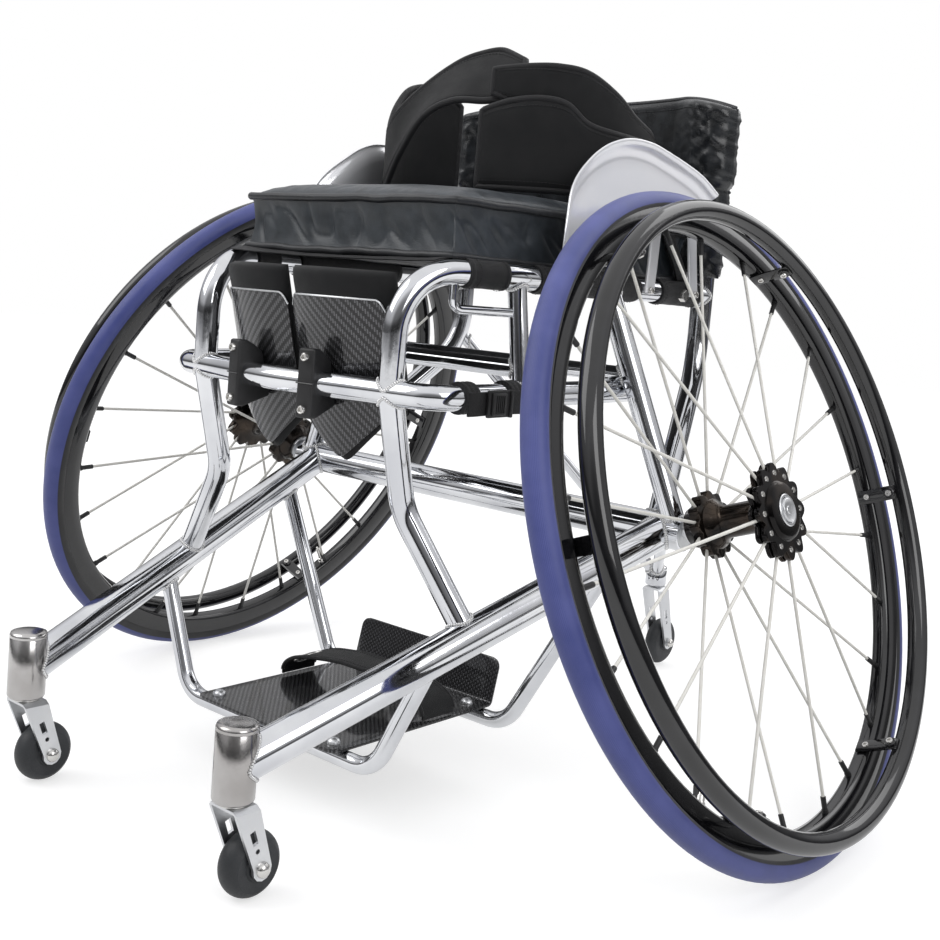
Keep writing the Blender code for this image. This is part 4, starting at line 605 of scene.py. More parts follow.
# Radii of the tubes from the camber bar to the thin rods, then of the two kinds of upright barrel.
HEAVY, MEDIUM, POST_RADIUS, LIGHT, ARM_RADIUS, ROD_RADIUS = 0.016, 0.011, 0.0085, 0.008, 0.007, 0.004
BARREL_RADIUS, HOUSING_RADIUS = 0.0165, 0.0135
RAIL_Z, KNEE_Z, KNEE_REAR_Z, HOOP_Z = 0.486, 0.382, 0.388, 0.0565
FRONT_CROSS_Z, REAR_CROSS_Z, ROD_BEND_Z = 0.407, 0.404, 0.455
POST_TOP_Z, ARM_TOP_Z, POST_BEND_Z, ARM_END_Z = 0.680, 0.420, 0.410, 0.124
CASTER = Vector((0.144, -0.427, 0))
KNEE_CORNER, KNEE_FRONT_Y, KNEE_REAR_Y = (0.168, -0.2585), -0.2875, 0.010
RAIL_KINK, BACK_POST = (0.155, -0.154), (0.163, 0.157)
UPRIGHT_BEND, UPRIGHT_FOOT_Y = Vector((0.122, -0.240, 0.281)), -0.220
STRUT_TOP_Y, SEAT_POST_Y, ROD_Y, HOUSING_Y = -0.015, -0.152, -0.214, 0.397
# Where each foot hoop leaves the main tubes, and its corner under them.
HOOPS = {
    "front": (-0.252, Vector((0.127, -0.257, HOOP_Z))),
    "rear": (-0.060, Vector((0.122, -0.068, HOOP_Z))),
}
main_ends = (Vector((CASTER.x, CASTER.y, 0.1065)), Vector((CAMBER_BAR_HALF - 0.0235, 0, CAMBER_BAR_Z)))


def rail_x(y):
    share = (y - RAIL_KINK[1]) / (BACK_POST[1] - RAIL_KINK[1])
    return RAIL_KINK[0] + (BACK_POST[0] - RAIL_KINK[0]) * share


strut_top = Vector((rail_x(STRUT_TOP_Y), STRUT_TOP_Y, RAIL_Z))
strut_ends = (Vector((CAMBER_BAR_HALF - 0.009, 0, CAMBER_BAR_Z)), strut_top)
strut_run = strut_ends[1] - strut_ends[0]
knee_rear_x = on_line(*strut_ends, 2, KNEE_REAR_Z).x - (2 * MEDIUM + 0.0003) * strut_run.length / strut_run.z


def knee_bar_point(x):
    share = abs(x) / KNEE_CORNER[0]
    return Vector((x, KNEE_FRONT_Y + (KNEE_CORNER[1] - KNEE_FRONT_Y) * share, KNEE_Z))


def knee_bar_side(y):
    return on_line((*KNEE_CORNER, KNEE_Z), (knee_rear_x, KNEE_REAR_Y, KNEE_REAR_Z), 1, y)


rail_joint = knee_bar_point(0.122)
rail_corners = (rail_joint, (rail_joint.x, rail_joint.y, RAIL_Z), (*RAIL_KINK, RAIL_Z), (*BACK_POST, RAIL_Z))
rail_line = rounded_path(rail_corners, (0.055, 0.15))
upright_foot = on_line(*main_ends, 1, UPRIGHT_FOOT_Y)
upright_line = rounded_path((rail_joint, UPRIGHT_BEND, upright_foot), (0.050,))
post_foot = Vector((CAMBER_BAR_HALF - 0.032, 0, CAMBER_BAR_Z))
post_line = rounded_path(((*BACK_POST, POST_TOP_Z), (*BACK_POST, POST_BEND_Z), post_foot), (0.080,))
knee_half = [
    Vector(p)
    for p in ((knee_rear_x, KNEE_REAR_Y, KNEE_REAR_Z), (*KNEE_CORNER, KNEE_Z), (0, KNEE_FRONT_Y, KNEE_Z))
]
knee_line = rounded_path(knee_half + mirrored(reversed(knee_half[:-1]), -1), (0.030, 0.150, 0.030))
seat_post_ends = (Vector((rail_x(SEAT_POST_Y), SEAT_POST_Y, RAIL_Z)), knee_bar_side(SEAT_POST_Y))
arm_ends = (Vector((*BACK_POST, ARM_TOP_Z)), Vector((0, HOUSING_Y, ARM_END_Z)))
print("rail points", len(rail_line), "knee bar points", len(knee_line))

# %% The tubes themselves
def frame_tube(node_name, points, radius):
    mesh = tube_mesh(node_name + "_tube", points, radius, 32 if radius > 0.012 else 24)
    return add_piece(node_name + "_tube", mesh, POLISHED, "frame", node_name)


def cross_tube(node_name, end, radius):
    """A straight tube from a point to its mirror image on the other side."""
    frame_tube(node_name, [end, Vector((-end.x, end.y, end.z))], radius)


cross_tube("camber_bar", Vector((-CAMBER_BAR_HALF, 0, CAMBER_BAR_Z)), HEAVY)
frame_tube("knee_bar", knee_line, MEDIUM)
for label, side in SIDES:
    frame_tube(label + "_main_tube", mirrored(main_ends, side), HEAVY)
    frame_tube(label + "_seat_rail", mirrored(rail_line, side), MEDIUM)
    frame_tube(label + "_lower_upright", mirrored(upright_line, side), MEDIUM)
    frame_tube(label + "_diagonal_strut", mirrored(strut_ends, side), MEDIUM)
    frame_tube(label + "_back_post", mirrored(post_line, side), MEDIUM)
    frame_tube(label + "_antitip_arm", mirrored(arm_ends, side), ARM_RADIUS)
front_cross_end = on_line(*seat_post_ends, 2, FRONT_CROSS_Z)
rear_cross_end = on_line(*strut_ends, 2, REAR_CROSS_Z)
cross_tube("front_cross_tube", front_cross_end, LIGHT)
cross_tube("rear_cross_tube", rear_cross_end, LIGHT)
for hoop, (top_y, corner) in HOOPS.items():
    half = [on_line(*main_ends, 1, top_y), corner]
    hoop_line = rounded_path(half + mirrored(reversed(half), -1), (0.035, 0.035))
    frame_tube(hoop + "_foot_hoop", hoop_line, LIGHT)

# %% [markdown]
# Each seat post carries a thin bent rod that stiffens the corner under the rail. Post and rod are one
# welded part, so they are one piece here.

# %% Seat posts with their gusset rods
share = (ROD_Y - RAIL_KINK[1]) / (rail_joint.y - RAIL_KINK[1])
rod_x = RAIL_KINK[0] + (rail_joint.x - RAIL_KINK[0]) * share
rod_end = on_line(*seat_post_ends, 2, ROD_BEND_Z)
rod_corners = ((rod_x, ROD_Y, RAIL_Z), (rod_x, ROD_Y, ROD_BEND_Z), rod_end)
for label, side in SIDES:
    rod = tube_mesh("rod", rounded_path(mirrored(rod_corners, side), (0.008,)), ROD_RADIUS, 14)
    post = tube_mesh("post", mirrored(seat_post_ends, side), POST_RADIUS, 24)
    add_piece(label + "_seat_post_welded", joined("post", post, rod), POLISHED, "frame", label + "_seat_post")

# %% [markdown]
# The caster barrels are short upright tubes with a pressed cap. They are turned on a lathe, so they
# are made the same way: a profile is spun about an axis.

# %% Barrels and camber plugs
def barrel_mesh(name, x, y, radius, bottom, top):
    """An upright barrel with a rounded cap, a groove below it and a shallow bore underneath."""
    cap, bore = 0.0032, 0.0063
    ledge, groove, mouth = top - cap, radius - 0.0004, bottom + 0.003
    profile = [
        (0, top), (radius * 0.72, top), (radius - cap * 0.35, top - cap * 0.3), (radius, ledge),
        (radius, ledge - 0.0012), (groove, ledge - 0.0016), (groove, ledge - 0.0026),
        (radius, ledge - 0.0030), (radius, bottom + 0.0022), (radius - 0.0008, bottom + 0.0004),
        (radius - 0.0025, bottom), (bore, bottom), (bore, mouth), (0, mouth),
    ]
    return lathe(name, profile, 48, Matrix.Translation((x, y, 0)))


for label, side in SIDES:
    barrel = barrel_mesh(label + "_barrel", side * CASTER.x, CASTER.y, BARREL_RADIUS, 0.081, 0.141)
    add_piece(label + "_caster_barrel_turned", barrel, BRUSHED, "frame", label + "_caster_barrel", sharp=60)
    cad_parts[label + "_camber_plug"].data.materials[0] = SATIN
housing = barrel_mesh("housing", 0, HOUSING_Y, HOUSING_RADIUS, 0.111, 0.137)
add_piece("antitip_housing_turned", housing, POLISHED, "frame", "antitip_housing", sharp=60)
print("barrels 3")

# %% [markdown]
# ## Geometry Nodes for what repeats
# Spokes, brackets, bolts, weld ripples and stitches repeat along a rule. Each gets a small node tree
# with named inputs. A modifier input is set through its identifier, and the result is turned into a
# plain mesh, because instances are lost on export.

# %% Building and using a tree
def geometry_tree(name, inputs):
    tree = bpy.data.node_groups.new(name, "GeometryNodeTree")
    tree.interface.new_socket("Geometry", in_out="INPUT", socket_type="NodeSocketGeometry")
    for label, kind, value in inputs:
        socket = tree.interface.new_socket(label, in_out="INPUT", socket_type=kind)
        if value is not None:
            socket.default_value = value
    tree.interface.new_socket("Geometry", in_out="OUTPUT", socket_type="NodeSocketGeometry")
    return tree, tree.nodes.new("NodeGroupInput").outputs, tree.nodes.new("NodeGroupOutput").inputs


def close_tree(tree, given, result, **copies):
    """Ends a tree: one copy on each point, made real, in the given material."""
    spread = node(tree, "GeometryNodeInstanceOnPoints", copies)
    real = node(tree, "GeometryNodeRealizeInstances", {0: spread.outputs[0]})
    keys = {"Geometry": real.outputs[0], "Material": given["Material"]}
    dressed = node(tree, "GeometryNodeSetMaterial", keys)
    tree.links.new(dressed.outputs[0], result["Geometry"])


def baked(holder, name):
    """Takes an object out of the scene and hands back the plain mesh that its modifiers make."""
    bpy.context.view_layer.update()
    depsgraph = bpy.context.evaluated_depsgraph_get()
    mesh = bpy.data.meshes.new_from_object(holder.evaluated_get(depsgraph), depsgraph=depsgraph)
    bpy.data.objects.remove(holder, do_unlink=True)
    mesh.name = name
    return mesh


def grown(name, tree, start_mesh, matrix=None, **values):
    """Runs a geometry tree on a mesh and hands back the plain mesh that it makes."""
    holder = bpy.data.objects.new(name, start_mesh)
    bpy.context.scene.collection.objects.link(holder)
    modifier = holder.modifiers.new("nodes", "NODES")
    modifier.node_group = tree
    for item in tree.interface.items_tree:
        key = item.name.replace(" ", "_").lower()
        if item.in_out == "INPUT" and key in values:
            modifier[item.identifier] = values[key]
    mesh = baked(holder, name)
    if matrix is not None:
        mesh.transform(matrix)
    return mesh


WHOLE, OBJECT, MATERIAL = "NodeSocketInt", "NodeSocketObject", "NodeSocketMaterial"


def single_point(name):
    mesh = bpy.data.meshes.new(name)
    mesh.from_pydata([(0, 0, 0)], [], [])
    return mesh


def ring_angle(tree, given):
    """The number of each copy, and its angle when Count copies stand round a circle from Phase on."""
    index = node(tree, "GeometryNodeInputIndex").outputs[0]
    share = maths(tree, "DIVIDE", maths(tree, "MULTIPLY", index, 2 * pi), given["Count"])
    return index, maths(tree, "ADD", share, given["Phase"])


# %% Tree one: spokes from two flanges to the rim
spoke_tree, given, result = geometry_tree(
    "laced_spokes",
    [("Count", WHOLE, 24), ("Phase", FLOAT, 0.0), ("Outer Lug", FLOAT, 0.036), ("Inner Lug", FLOAT, 0.026),
     ("Outer Flange", FLOAT, 0.034), ("Inner Flange", FLOAT, -0.032), ("Rim", FLOAT, 0.268),
     ("Rim Offset", FLOAT, 0.002), ("Radius", FLOAT, 0.0013), ("Length", FLOAT, 1.0),
     ("Material", MATERIAL, None)],
)
row = node(spoke_tree, "GeometryNodeMeshLine", {"Count": given["Count"]})
index, turn = ring_angle(spoke_tree, given)
odd = maths(spoke_tree, "MODULO", index, 2.0)
lug = mixed(spoke_tree, odd, given["Outer Lug"], given["Inner Lug"])
flange = mixed(spoke_tree, odd, given["Outer Flange"], given["Inner Flange"])
flange_side = maths(spoke_tree, "SUBTRACT", 1.0, maths(spoke_tree, "MULTIPLY", odd, 2.0))
foot = maths(spoke_tree, "MULTIPLY", given["Rim Offset"], flange_side)


def polar(radius, lift):
    x = maths(spoke_tree, "MULTIPLY", radius, maths(spoke_tree, "COSINE", turn))
    y = maths(spoke_tree, "MULTIPLY", radius, maths(spoke_tree, "SINE", turn))
    return node(spoke_tree, "ShaderNodeCombineXYZ", {0: x, 1: y, 2: lift}).outputs[0]


def vectors(operation, *values, output="Vector", **named):
    keys = dict(enumerate(values)) | named
    return node(spoke_tree, "ShaderNodeVectorMath", keys, operation=operation).outputs[output]


rim_end = polar(given["Rim"], foot)
span = vectors("SUBTRACT", rim_end, polar(lug, flange))
# A length of 1 is the whole spoke, and a smaller share makes the sleeve at its rim end.
to_middle = maths(spoke_tree, "MULTIPLY", given["Length"], -0.5)
middle = vectors("ADD", rim_end, vectors("SCALE", span, Scale=to_middle))
placed = node(spoke_tree, "GeometryNodeSetPosition", {"Geometry": row.outputs[0], "Position": middle})
rod = node(spoke_tree, "GeometryNodeMeshCylinder", {"Vertices": 10, "Radius": given["Radius"], "Depth": 1.0})
facing = node(spoke_tree, "FunctionNodeAlignRotationToVector", {"Vector": span}, axis="Z")
long = maths(spoke_tree, "MULTIPLY", vectors("LENGTH", span, output="Value"), given["Length"])
stretch = node(spoke_tree, "ShaderNodeCombineXYZ", {0: 1.0, 1: 1.0, 2: long})
close_tree(
    spoke_tree, given, result, Points=placed.outputs[0], Instance=rod.outputs[0], Rotation=facing.outputs[0],
    Scale=stretch.outputs[0],
)

# %% Tree two: one piece repeated round a ring
ring_tree, given, result = geometry_tree(
    "ring_of_pieces",
    [("Piece", OBJECT, None), ("Count", WHOLE, 6), ("Phase", FLOAT, 0.0), ("Material", MATERIAL, None)],
)
still = node(ring_tree, "GeometryNodeMeshLine", {"Count": given["Count"], "Offset": (0, 0, 0)})
turn = node(ring_tree, "ShaderNodeCombineXYZ", {2: ring_angle(ring_tree, given)[1]})
turned = node(ring_tree, "FunctionNodeEulerToRotation", {0: turn.outputs[0]})
model = node(ring_tree, "GeometryNodeObjectInfo", {"Object": given["Piece"]})
close_tree(
    ring_tree, given, result, Points=still.outputs[0], Instance=model.outputs["Geometry"],
    Rotation=turned.outputs[0],
)

# %% Tree three: ripples or stitches along lines
bead_tree, given, result = geometry_tree(
    "beads_along_lines",
    [("Spacing", FLOAT, 0.003), ("Size", VECTOR, None), ("Material", MATERIAL, None)],
)
lines = node(bead_tree, "GeometryNodeMeshToCurve", {0: given["Geometry"]})
keys = {"Curve": lines.outputs[0], "Length": given["Spacing"]}
points = node(bead_tree, "GeometryNodeCurveToPoints", keys, mode="LENGTH")
bead = node(bead_tree, "GeometryNodeMeshIcoSphere", {"Radius": 1.0, "Subdivisions": 2})
close_tree(
    bead_tree, given, result, Points=points.outputs["Points"], Instance=bead.outputs["Mesh"],
    Rotation=points.outputs["Rotation"], Scale=given["Size"],
)

# %% Tree four: a fastener on each marked point
fastener_tree, given, result = geometry_tree(
    "fasteners_on_points", [("Piece", OBJECT, None), ("Scale", FLOAT, 1.0), ("Material", MATERIAL, None)]
)
facing = node(fastener_tree, "GeometryNodeInputNamedAttribute", {"Name": "facing"}, data_type="FLOAT_VECTOR")
aligned = node(fastener_tree, "FunctionNodeAlignRotationToVector", {"Vector": facing.outputs[0]}, axis="Z")
model = node(fastener_tree, "GeometryNodeObjectInfo", {"Object": given["Piece"]})
close_tree(
    fastener_tree, given, result, Points=given["Geometry"], Instance=model.outputs["Geometry"],
    Rotation=aligned.outputs[0], Scale=given["Scale"],
)
print("geometry trees", 4)


# %% Marked points, pattern pieces and edge lines
def pattern(name, mesh):
    """A piece that the trees copy. It is taken out of the scene at the end."""
    made = bpy.data.objects.new(name, mesh)
    bpy.context.scene.collection.objects.link(made)
    PATTERNS.append(made)
    return made


def fasteners(name, piece, spots, scale, material, body):
    """Copies of a fastener at (place, direction) spots."""
    mesh = bpy.data.meshes.new(name)
    mesh.from_pydata([tuple(place) for place, _ in spots], [], [])
    facing = mesh.attributes.new("facing", "FLOAT_VECTOR", "POINT")
    facing.data.foreach_set("vector", [value for _, way in spots for value in way])
    grown_mesh = grown(name, fastener_tree, mesh, piece=piece, scale=scale, material=material)
    return add_piece(name, grown_mesh, material, body)


def ringed(name, piece, count, matrix, material, body):
    """Copies of a pattern piece, evenly spaced round the axle."""
    copies = grown(name, ring_tree, single_point("seed"), matrix, piece=piece, count=count, material=material)
    return add_piece(name, copies, material, body)


def line_mesh(name, lines, loop):
    mesh = bpy.data.meshes.new(name)
    points, edges = [], []
    for line in lines:
        first = len(points)
        points += [tuple(p) for p in line]
        edges += [(first + i, first + i + 1) for i in range(len(line) - 1)]
        if loop:
            edges.append((len(points) - 1, first))
    mesh.from_pydata(points, edges, [])
    return mesh


def beaded(name, lines, spacing, size, material, body="frame", loop=False):
    """Ripples or stitches along lines, as one piece. The last of a bead's three sizes runs along them."""
    guide = line_mesh(name + "_lines", lines, loop)
    beads = grown(name, bead_tree, guide, spacing=spacing, size=size, material=material)
    return add_piece(name, beads, material, body)


PATTERNS = []
socket_profile = [
    (0, 0.55), (0.42, 0.55), (0.50, 0.95), (0.62, 1.0), (0.86, 0.92), (1.0, 0.55), (1.0, 0.0), (0, 0.0),
]
SOCKET_HEAD = pattern("socket_head", lathe("head", socket_profile, 18))
hex_profile = [(0, 1.0), (0.88, 1.0), (1.0, 0.8), (1.0, 0.0), (0, 0.0)]
HEX_HEAD = pattern("hex_head", lathe("hex", hex_profile, 6))
dome = [(cos(a), 0.15 + 0.75 * sin(a)) for a in (1.25, 0.95, 0.65, 0.35, 0.0)]
DOME_HEAD = pattern("dome_head", lathe("dome", [(0, 0.9), *dome, (1.0, 0.0), (0, 0.0)], 20))
STITCH = (0.0004, 0.0004, 0.0011)
print("patterns", len(PATTERNS))

# %% [markdown]
# ## Weld seams
# Where one tube runs into another, the welder leaves a ring of overlapping ripples. The ring follows
# the saddle line of the two cylinders, which has a plain formula: from each point of the thin tube's
# skin, go along its axis until the thick tube's skin is met. The bead tree then sets the ripples.

# %% Saddle lines between tubes
def saddle(inner, outward, radius, axis_point, axis_way, thick):
    """The closed line where a tube from inner, going outward, leaves a tube of the given axis."""
    way, axis = (Vector(outward) - Vector(inner)).normalized(), Vector(axis_way).normalized()
    side = way.cross(axis).normalized()
    rise = way.cross(side)
    flat_way = way - axis * way.dot(axis)
    ring = []
    for a in around(48):
        start = Vector(inner) + (side * cos(a) + rise * sin(a)) * (radius + 0.0006)
        rel = start - Vector(axis_point)
        rel -= axis * rel.dot(axis)
        # The reach solves qa·t² + qb·t + qc = 0, where the line meets the thick tube's skin.
        qa, qb = flat_way.length_squared, 2 * rel.dot(flat_way)
        qc = rel.length_squared - (thick + 0.0004) ** 2
        root = qb * qb - 4 * qa * qc
        reach = (-qb + sqrt(root)) / (2 * qa) if root > 0 else -qb / (2 * qa)
        ring.append(start + way * reach)
    return ring


def on_side(point, side):
    return Vector((side * point[0], point[1], point[2]))


X_AXIS, Y_AXIS, Z_AXIS = (1, 0, 0), (0, 1, 0), (0, 0, 1)
SNUG = MEDIUM - 0.0003  # the thin tube's radius where both tubes are of one size
main_foot, main_top = main_ends
strut_foot, strut_top = strut_ends
post_top, post_bottom = seat_post_ends
arm_top, arm_end = arm_ends
rail_corner = Vector((rail_joint.x, rail_joint.y, RAIL_Z))
back_post_foot = (*BACK_POST, 0)
KNEE_FRONT_RUN = (knee_bar_point(0), knee_bar_point(0.15))
KNEE_SIDE_RUN = (knee_bar_side(-0.2), knee_bar_side(0))
# Each row: where the thin tube starts, a point that it runs to, and its radius. Then a point on the
# thick tube's axis, that axis or two points along it, and the thick tube's radius.
SEAMS = [
    (main_foot, main_top, HEAVY, CASTER, Z_AXIS, BARREL_RADIUS),
    (main_top, main_foot, HEAVY - 0.0003, main_top, X_AXIS, HEAVY),
    (rail_joint, rail_corner, SNUG, rail_joint, KNEE_FRONT_RUN, MEDIUM),
    (rail_joint, UPRIGHT_BEND, SNUG, rail_joint, KNEE_FRONT_RUN, MEDIUM),
    (upright_foot, UPRIGHT_BEND, MEDIUM, main_foot, main_ends, HEAVY),
    (strut_foot, strut_top, MEDIUM, main_top, X_AXIS, HEAVY),
    (strut_top, strut_foot, SNUG, strut_top, Y_AXIS, MEDIUM),
    (post_foot, (*BACK_POST, POST_BEND_Z), MEDIUM, main_top, X_AXIS, HEAVY),
    ((*BACK_POST, RAIL_Z), (rail_x(0), 0, RAIL_Z), SNUG, back_post_foot, Z_AXIS, MEDIUM),
    (post_top, post_bottom, POST_RADIUS, post_top, Y_AXIS, MEDIUM),
    (post_bottom, post_top, POST_RADIUS, post_bottom, KNEE_SIDE_RUN, MEDIUM),
    (front_cross_end, (0, *front_cross_end.yz), LIGHT, post_top, seat_post_ends, POST_RADIUS),
    (rear_cross_end, (0, *rear_cross_end.yz), LIGHT, strut_foot, strut_ends, MEDIUM),
    (arm_top, arm_end, ARM_RADIUS, back_post_foot, Z_AXIS, MEDIUM),
    (arm_end, arm_top, ARM_RADIUS, (0, HOUSING_Y, 0), Z_AXIS, HOUSING_RADIUS),
]
for top_y, corner in HOOPS.values():
    SEAMS.append((on_line(*main_ends, 1, top_y), corner, LIGHT, main_foot, main_ends, HEAVY))
welds = []
for _, side in SIDES:
    for inner, outward, radius, axis_point, axis, thick in SEAMS:
        if len(axis) == 2:
            axis = on_side(axis[1], side) - on_side(axis[0], side)
        ends = on_side(inner, side), on_side(outward, side)
        welds.append(saddle(*ends, radius, on_side(axis_point, side), axis, thick))
seams = beaded("weld_seams", welds, 0.0021, (0.0017, 0.0017, 0.0012), WELD, loop=True)
print("weld rings", len(welds), "ripples", len(seams.data.polygons) // 80)

# %% [markdown]
# ## The drive wheels
# A wheel is turned work: tyre, rim, push rim and hub are profiles spun about the axle, which leans by
# the camber angle. Everything is made flat about Z and then set on the axle by one matrix.

# %% Wheel places and profiles
CAMBER = radians(20.0)
WHEEL_X, WHEEL_Z = 0.3145, 0.28824
WHEEL_STEPS, SPOKES, BRACKETS, LOBES = 144, 24, 6, 12
SPOKE_PHASE, VALVE_TURN = radians(6.5), radians(-128)
# Radius of the circle, radius of its section and, for the push rim, how far out it stands.
TYRE_CIRCLE, TYRE_SECTION = 0.2945, 0.01145
PUSH_RIM = (0.2760, 0.0095, 0.0367)
# The spokes and the sleeves at their rim ends: radius, share of the spoke's length, and finish.
SPOKE_PARTS = (
    ("spokes", 0.0015, 1.0, SPOKE_WHITE),
    ("spoke_nipples", 0.0024, 0.062, MATT_BLACK),
    ("spoke_collars", 0.0030, 0.012, MATT_BLACK),
)


def wheel_matrix(side):
    outward = Vector((side * cos(CAMBER), 0, sin(CAMBER)))
    upward = Vector((-side * sin(CAMBER), 0, cos(CAMBER)))
    turn = Matrix((upward.cross(outward), upward, outward)).transposed().to_4x4()
    return Matrix.Translation((side * WHEEL_X, 0, WHEEL_Z)) @ turn


def round_profile(radius, tube, offset, count):
    return [(radius + tube * sin(a), offset + tube * cos(a)) for a in around(count)]


tyre_low = radians(32)
tyre_section = [
    (TYRE_CIRCLE + TYRE_SECTION * sin(a), -TYRE_SECTION * cos(a))
    for a in spaced(-tyre_low, pi + tyre_low, 30)
]
tyre_profile = tyre_section + [(0.2845, 0.0066), (0.2845, -0.0066)]
rim_profile = [
    (0.2890, 0.0098), (0.2894, 0.0090), (0.2892, 0.0080), (0.2850, 0.0078), (0.2835, 0.0060),
    (0.2835, -0.0060), (0.2850, -0.0078), (0.2892, -0.0080), (0.2894, -0.0090), (0.2890, -0.0098),
    (0.2868, -0.0100), (0.2790, -0.0100), (0.2772, -0.0096), (0.2720, -0.0086), (0.2694, -0.0070),
    (0.2682, -0.0040), (0.2678, 0.0), (0.2682, 0.0040), (0.2694, 0.0070), (0.2720, 0.0086),
    (0.2772, 0.0096), (0.2790, 0.0100), (0.2868, 0.0100),
]
print("profiles ready")

# %% Hub with twelve lobes on each flange
def hub_mesh(name, matrix):
    lobe, inner_lobe = 0.0078, 0.0042
    profile = [
        (0.0152, 0.0440), (0.0225, 0.0440), (0.0250, 0.0432), (0.0262, 0.0415), (0.0270, 0.0398),
        (0.0352, 0.0398, lobe), (0.0358, 0.0392, lobe), (0.0358, 0.0352, lobe), (0.0352, 0.0344, lobe),
        (0.0300, 0.0342), (0.0300, 0.0326), (0.0352, 0.0324, lobe), (0.0358, 0.0316, lobe),
        (0.0358, 0.0290, lobe), (0.0350, 0.0282, lobe), (0.0270, 0.0278), (0.0225, 0.0258), (0.0180, 0.0215),
        (0.0158, 0.0160), (0.0150, 0.0120), (0.0150, -0.0130), (0.0156, -0.0165), (0.0185, -0.0205),
        (0.0222, -0.0235), (0.0235, -0.0262), (0.0262, -0.0268, inner_lobe), (0.0268, -0.0274, inner_lobe),
        (0.0268, -0.0370, inner_lobe), (0.0262, -0.0376, inner_lobe), (0.0235, -0.0382), (0.0222, -0.0420),
        (0.0205, -0.0445), (0.0182, -0.0500), (0.0068, -0.0500), (0.0068, 0.0352), (0.0152, 0.0352),
    ]
    return lathe(name, profile, WHEEL_STEPS, matrix, closed=True, lobes=LOBES)


def axle_mesh(name, matrix):
    profile = [
        (0, 0.0376), (0.0113, 0.0376), (0.0113, 0.0448), (0.0120, 0.0455), (0.0138, 0.0455), (0.0145, 0.0449),
        (0.0145, 0.0425), (0.0140, 0.0421), (0.0140, 0.0412), (0.0145, 0.0408), (0.0145, 0.0358),
        (0.00635, 0.0358), (0.00635, -0.0900), (0.0055, -0.0900), (0, -0.0900),
    ]
    return lathe(name, profile, 40, matrix)


button_profile = [
    (0, 0.0463), (0.0030, 0.0464), (0.0036, 0.0459), (0.0070, 0.0460), (0.0098, 0.0470), (0.0106, 0.0466),
    (0.0110, 0.0458), (0.0110, 0.0410), (0, 0.0410),
]
print("hub profile ready")

# %% [markdown]
# A push rim is held by six folded brackets, each with a sleeve under the tube and a screw into the
# rim. One bracket is modelled, and the ring tree repeats it every 60 degrees.

# %% One bracket, drawn where the wheel's first one sits
def folded_strip(name, line, width, thickness, bulge=0.0):
    """A flat strip folded along a line of (radius, height) points, with round edges."""
    rings = []
    for k, (radius, lift) in enumerate(line):
        before, after = line[max(0, k - 1)], line[min(len(line) - 1, k + 1)]
        run = Vector((after[0] - before[0], after[1] - before[1])).normalized()
        out = Vector((run.y, -run.x))
        ring = []
        for u, v in ((-1, -0.6), (-0.8, -1), (0.8, -1), (1, -0.6), (1, 0.6), (0.8, 1), (-0.8, 1), (-1, 0.6)):
            wide = width / 2 * (1 + bulge * sin(pi * k / (len(line) - 1)))
            ring.append((radius + out.x * v * thickness / 2, u * wide, lift + out.y * v * thickness / 2))
        rings.append(ring)
    return loft(name, rings)


def screw_profile(radius):
    """A screw head with a small socket in its middle."""
    socket = [(0, 0.0005), (0.0014, 0.0005), (0.0016, 0.0016)]
    return socket + [(radius - 0.0004, 0.0016), (radius, 0.0008), (radius, 0), (0, 0)]


def facing_axle(radius, height):
    """Stands a turned piece in the plane of the first bracket, pointing to the axle."""
    return along_axis((radius, 0, height), (0.2560, 0, height))


bracket_line = [
    (0.2662, -0.0040), (0.2662, 0.0060), (0.2660, 0.0150), (0.2655, 0.0215), (0.2653, 0.0275),
    (0.2655, 0.0330), (0.2660, 0.0360),
]
bracket = folded_strip("bracket", bracket_line, 0.0138, 0.0026, 0.06)
sleeve_profile = [(0, 0), (0.0052, 0), (0.0056, 0.0005), (0.0056, 0.0036), (0.0048, 0.0044), (0, 0.0044)]
sleeve = lathe("sleeve", sleeve_profile, 24, facing_axle(0.2660, 0.0300))
RIM_BRACKET = pattern("rim_bracket", joined("rim_bracket", bracket, sleeve))
tube_screw = lathe("s", screw_profile(0.0034), 18, facing_axle(0.2616, 0.0300))
rim_screw = lathe("t", screw_profile(0.0032), 18, facing_axle(0.2649, 0.0050))
BRACKET_SCREWS = pattern("bracket_screws", joined("bracket_screws", tube_screw, rim_screw))

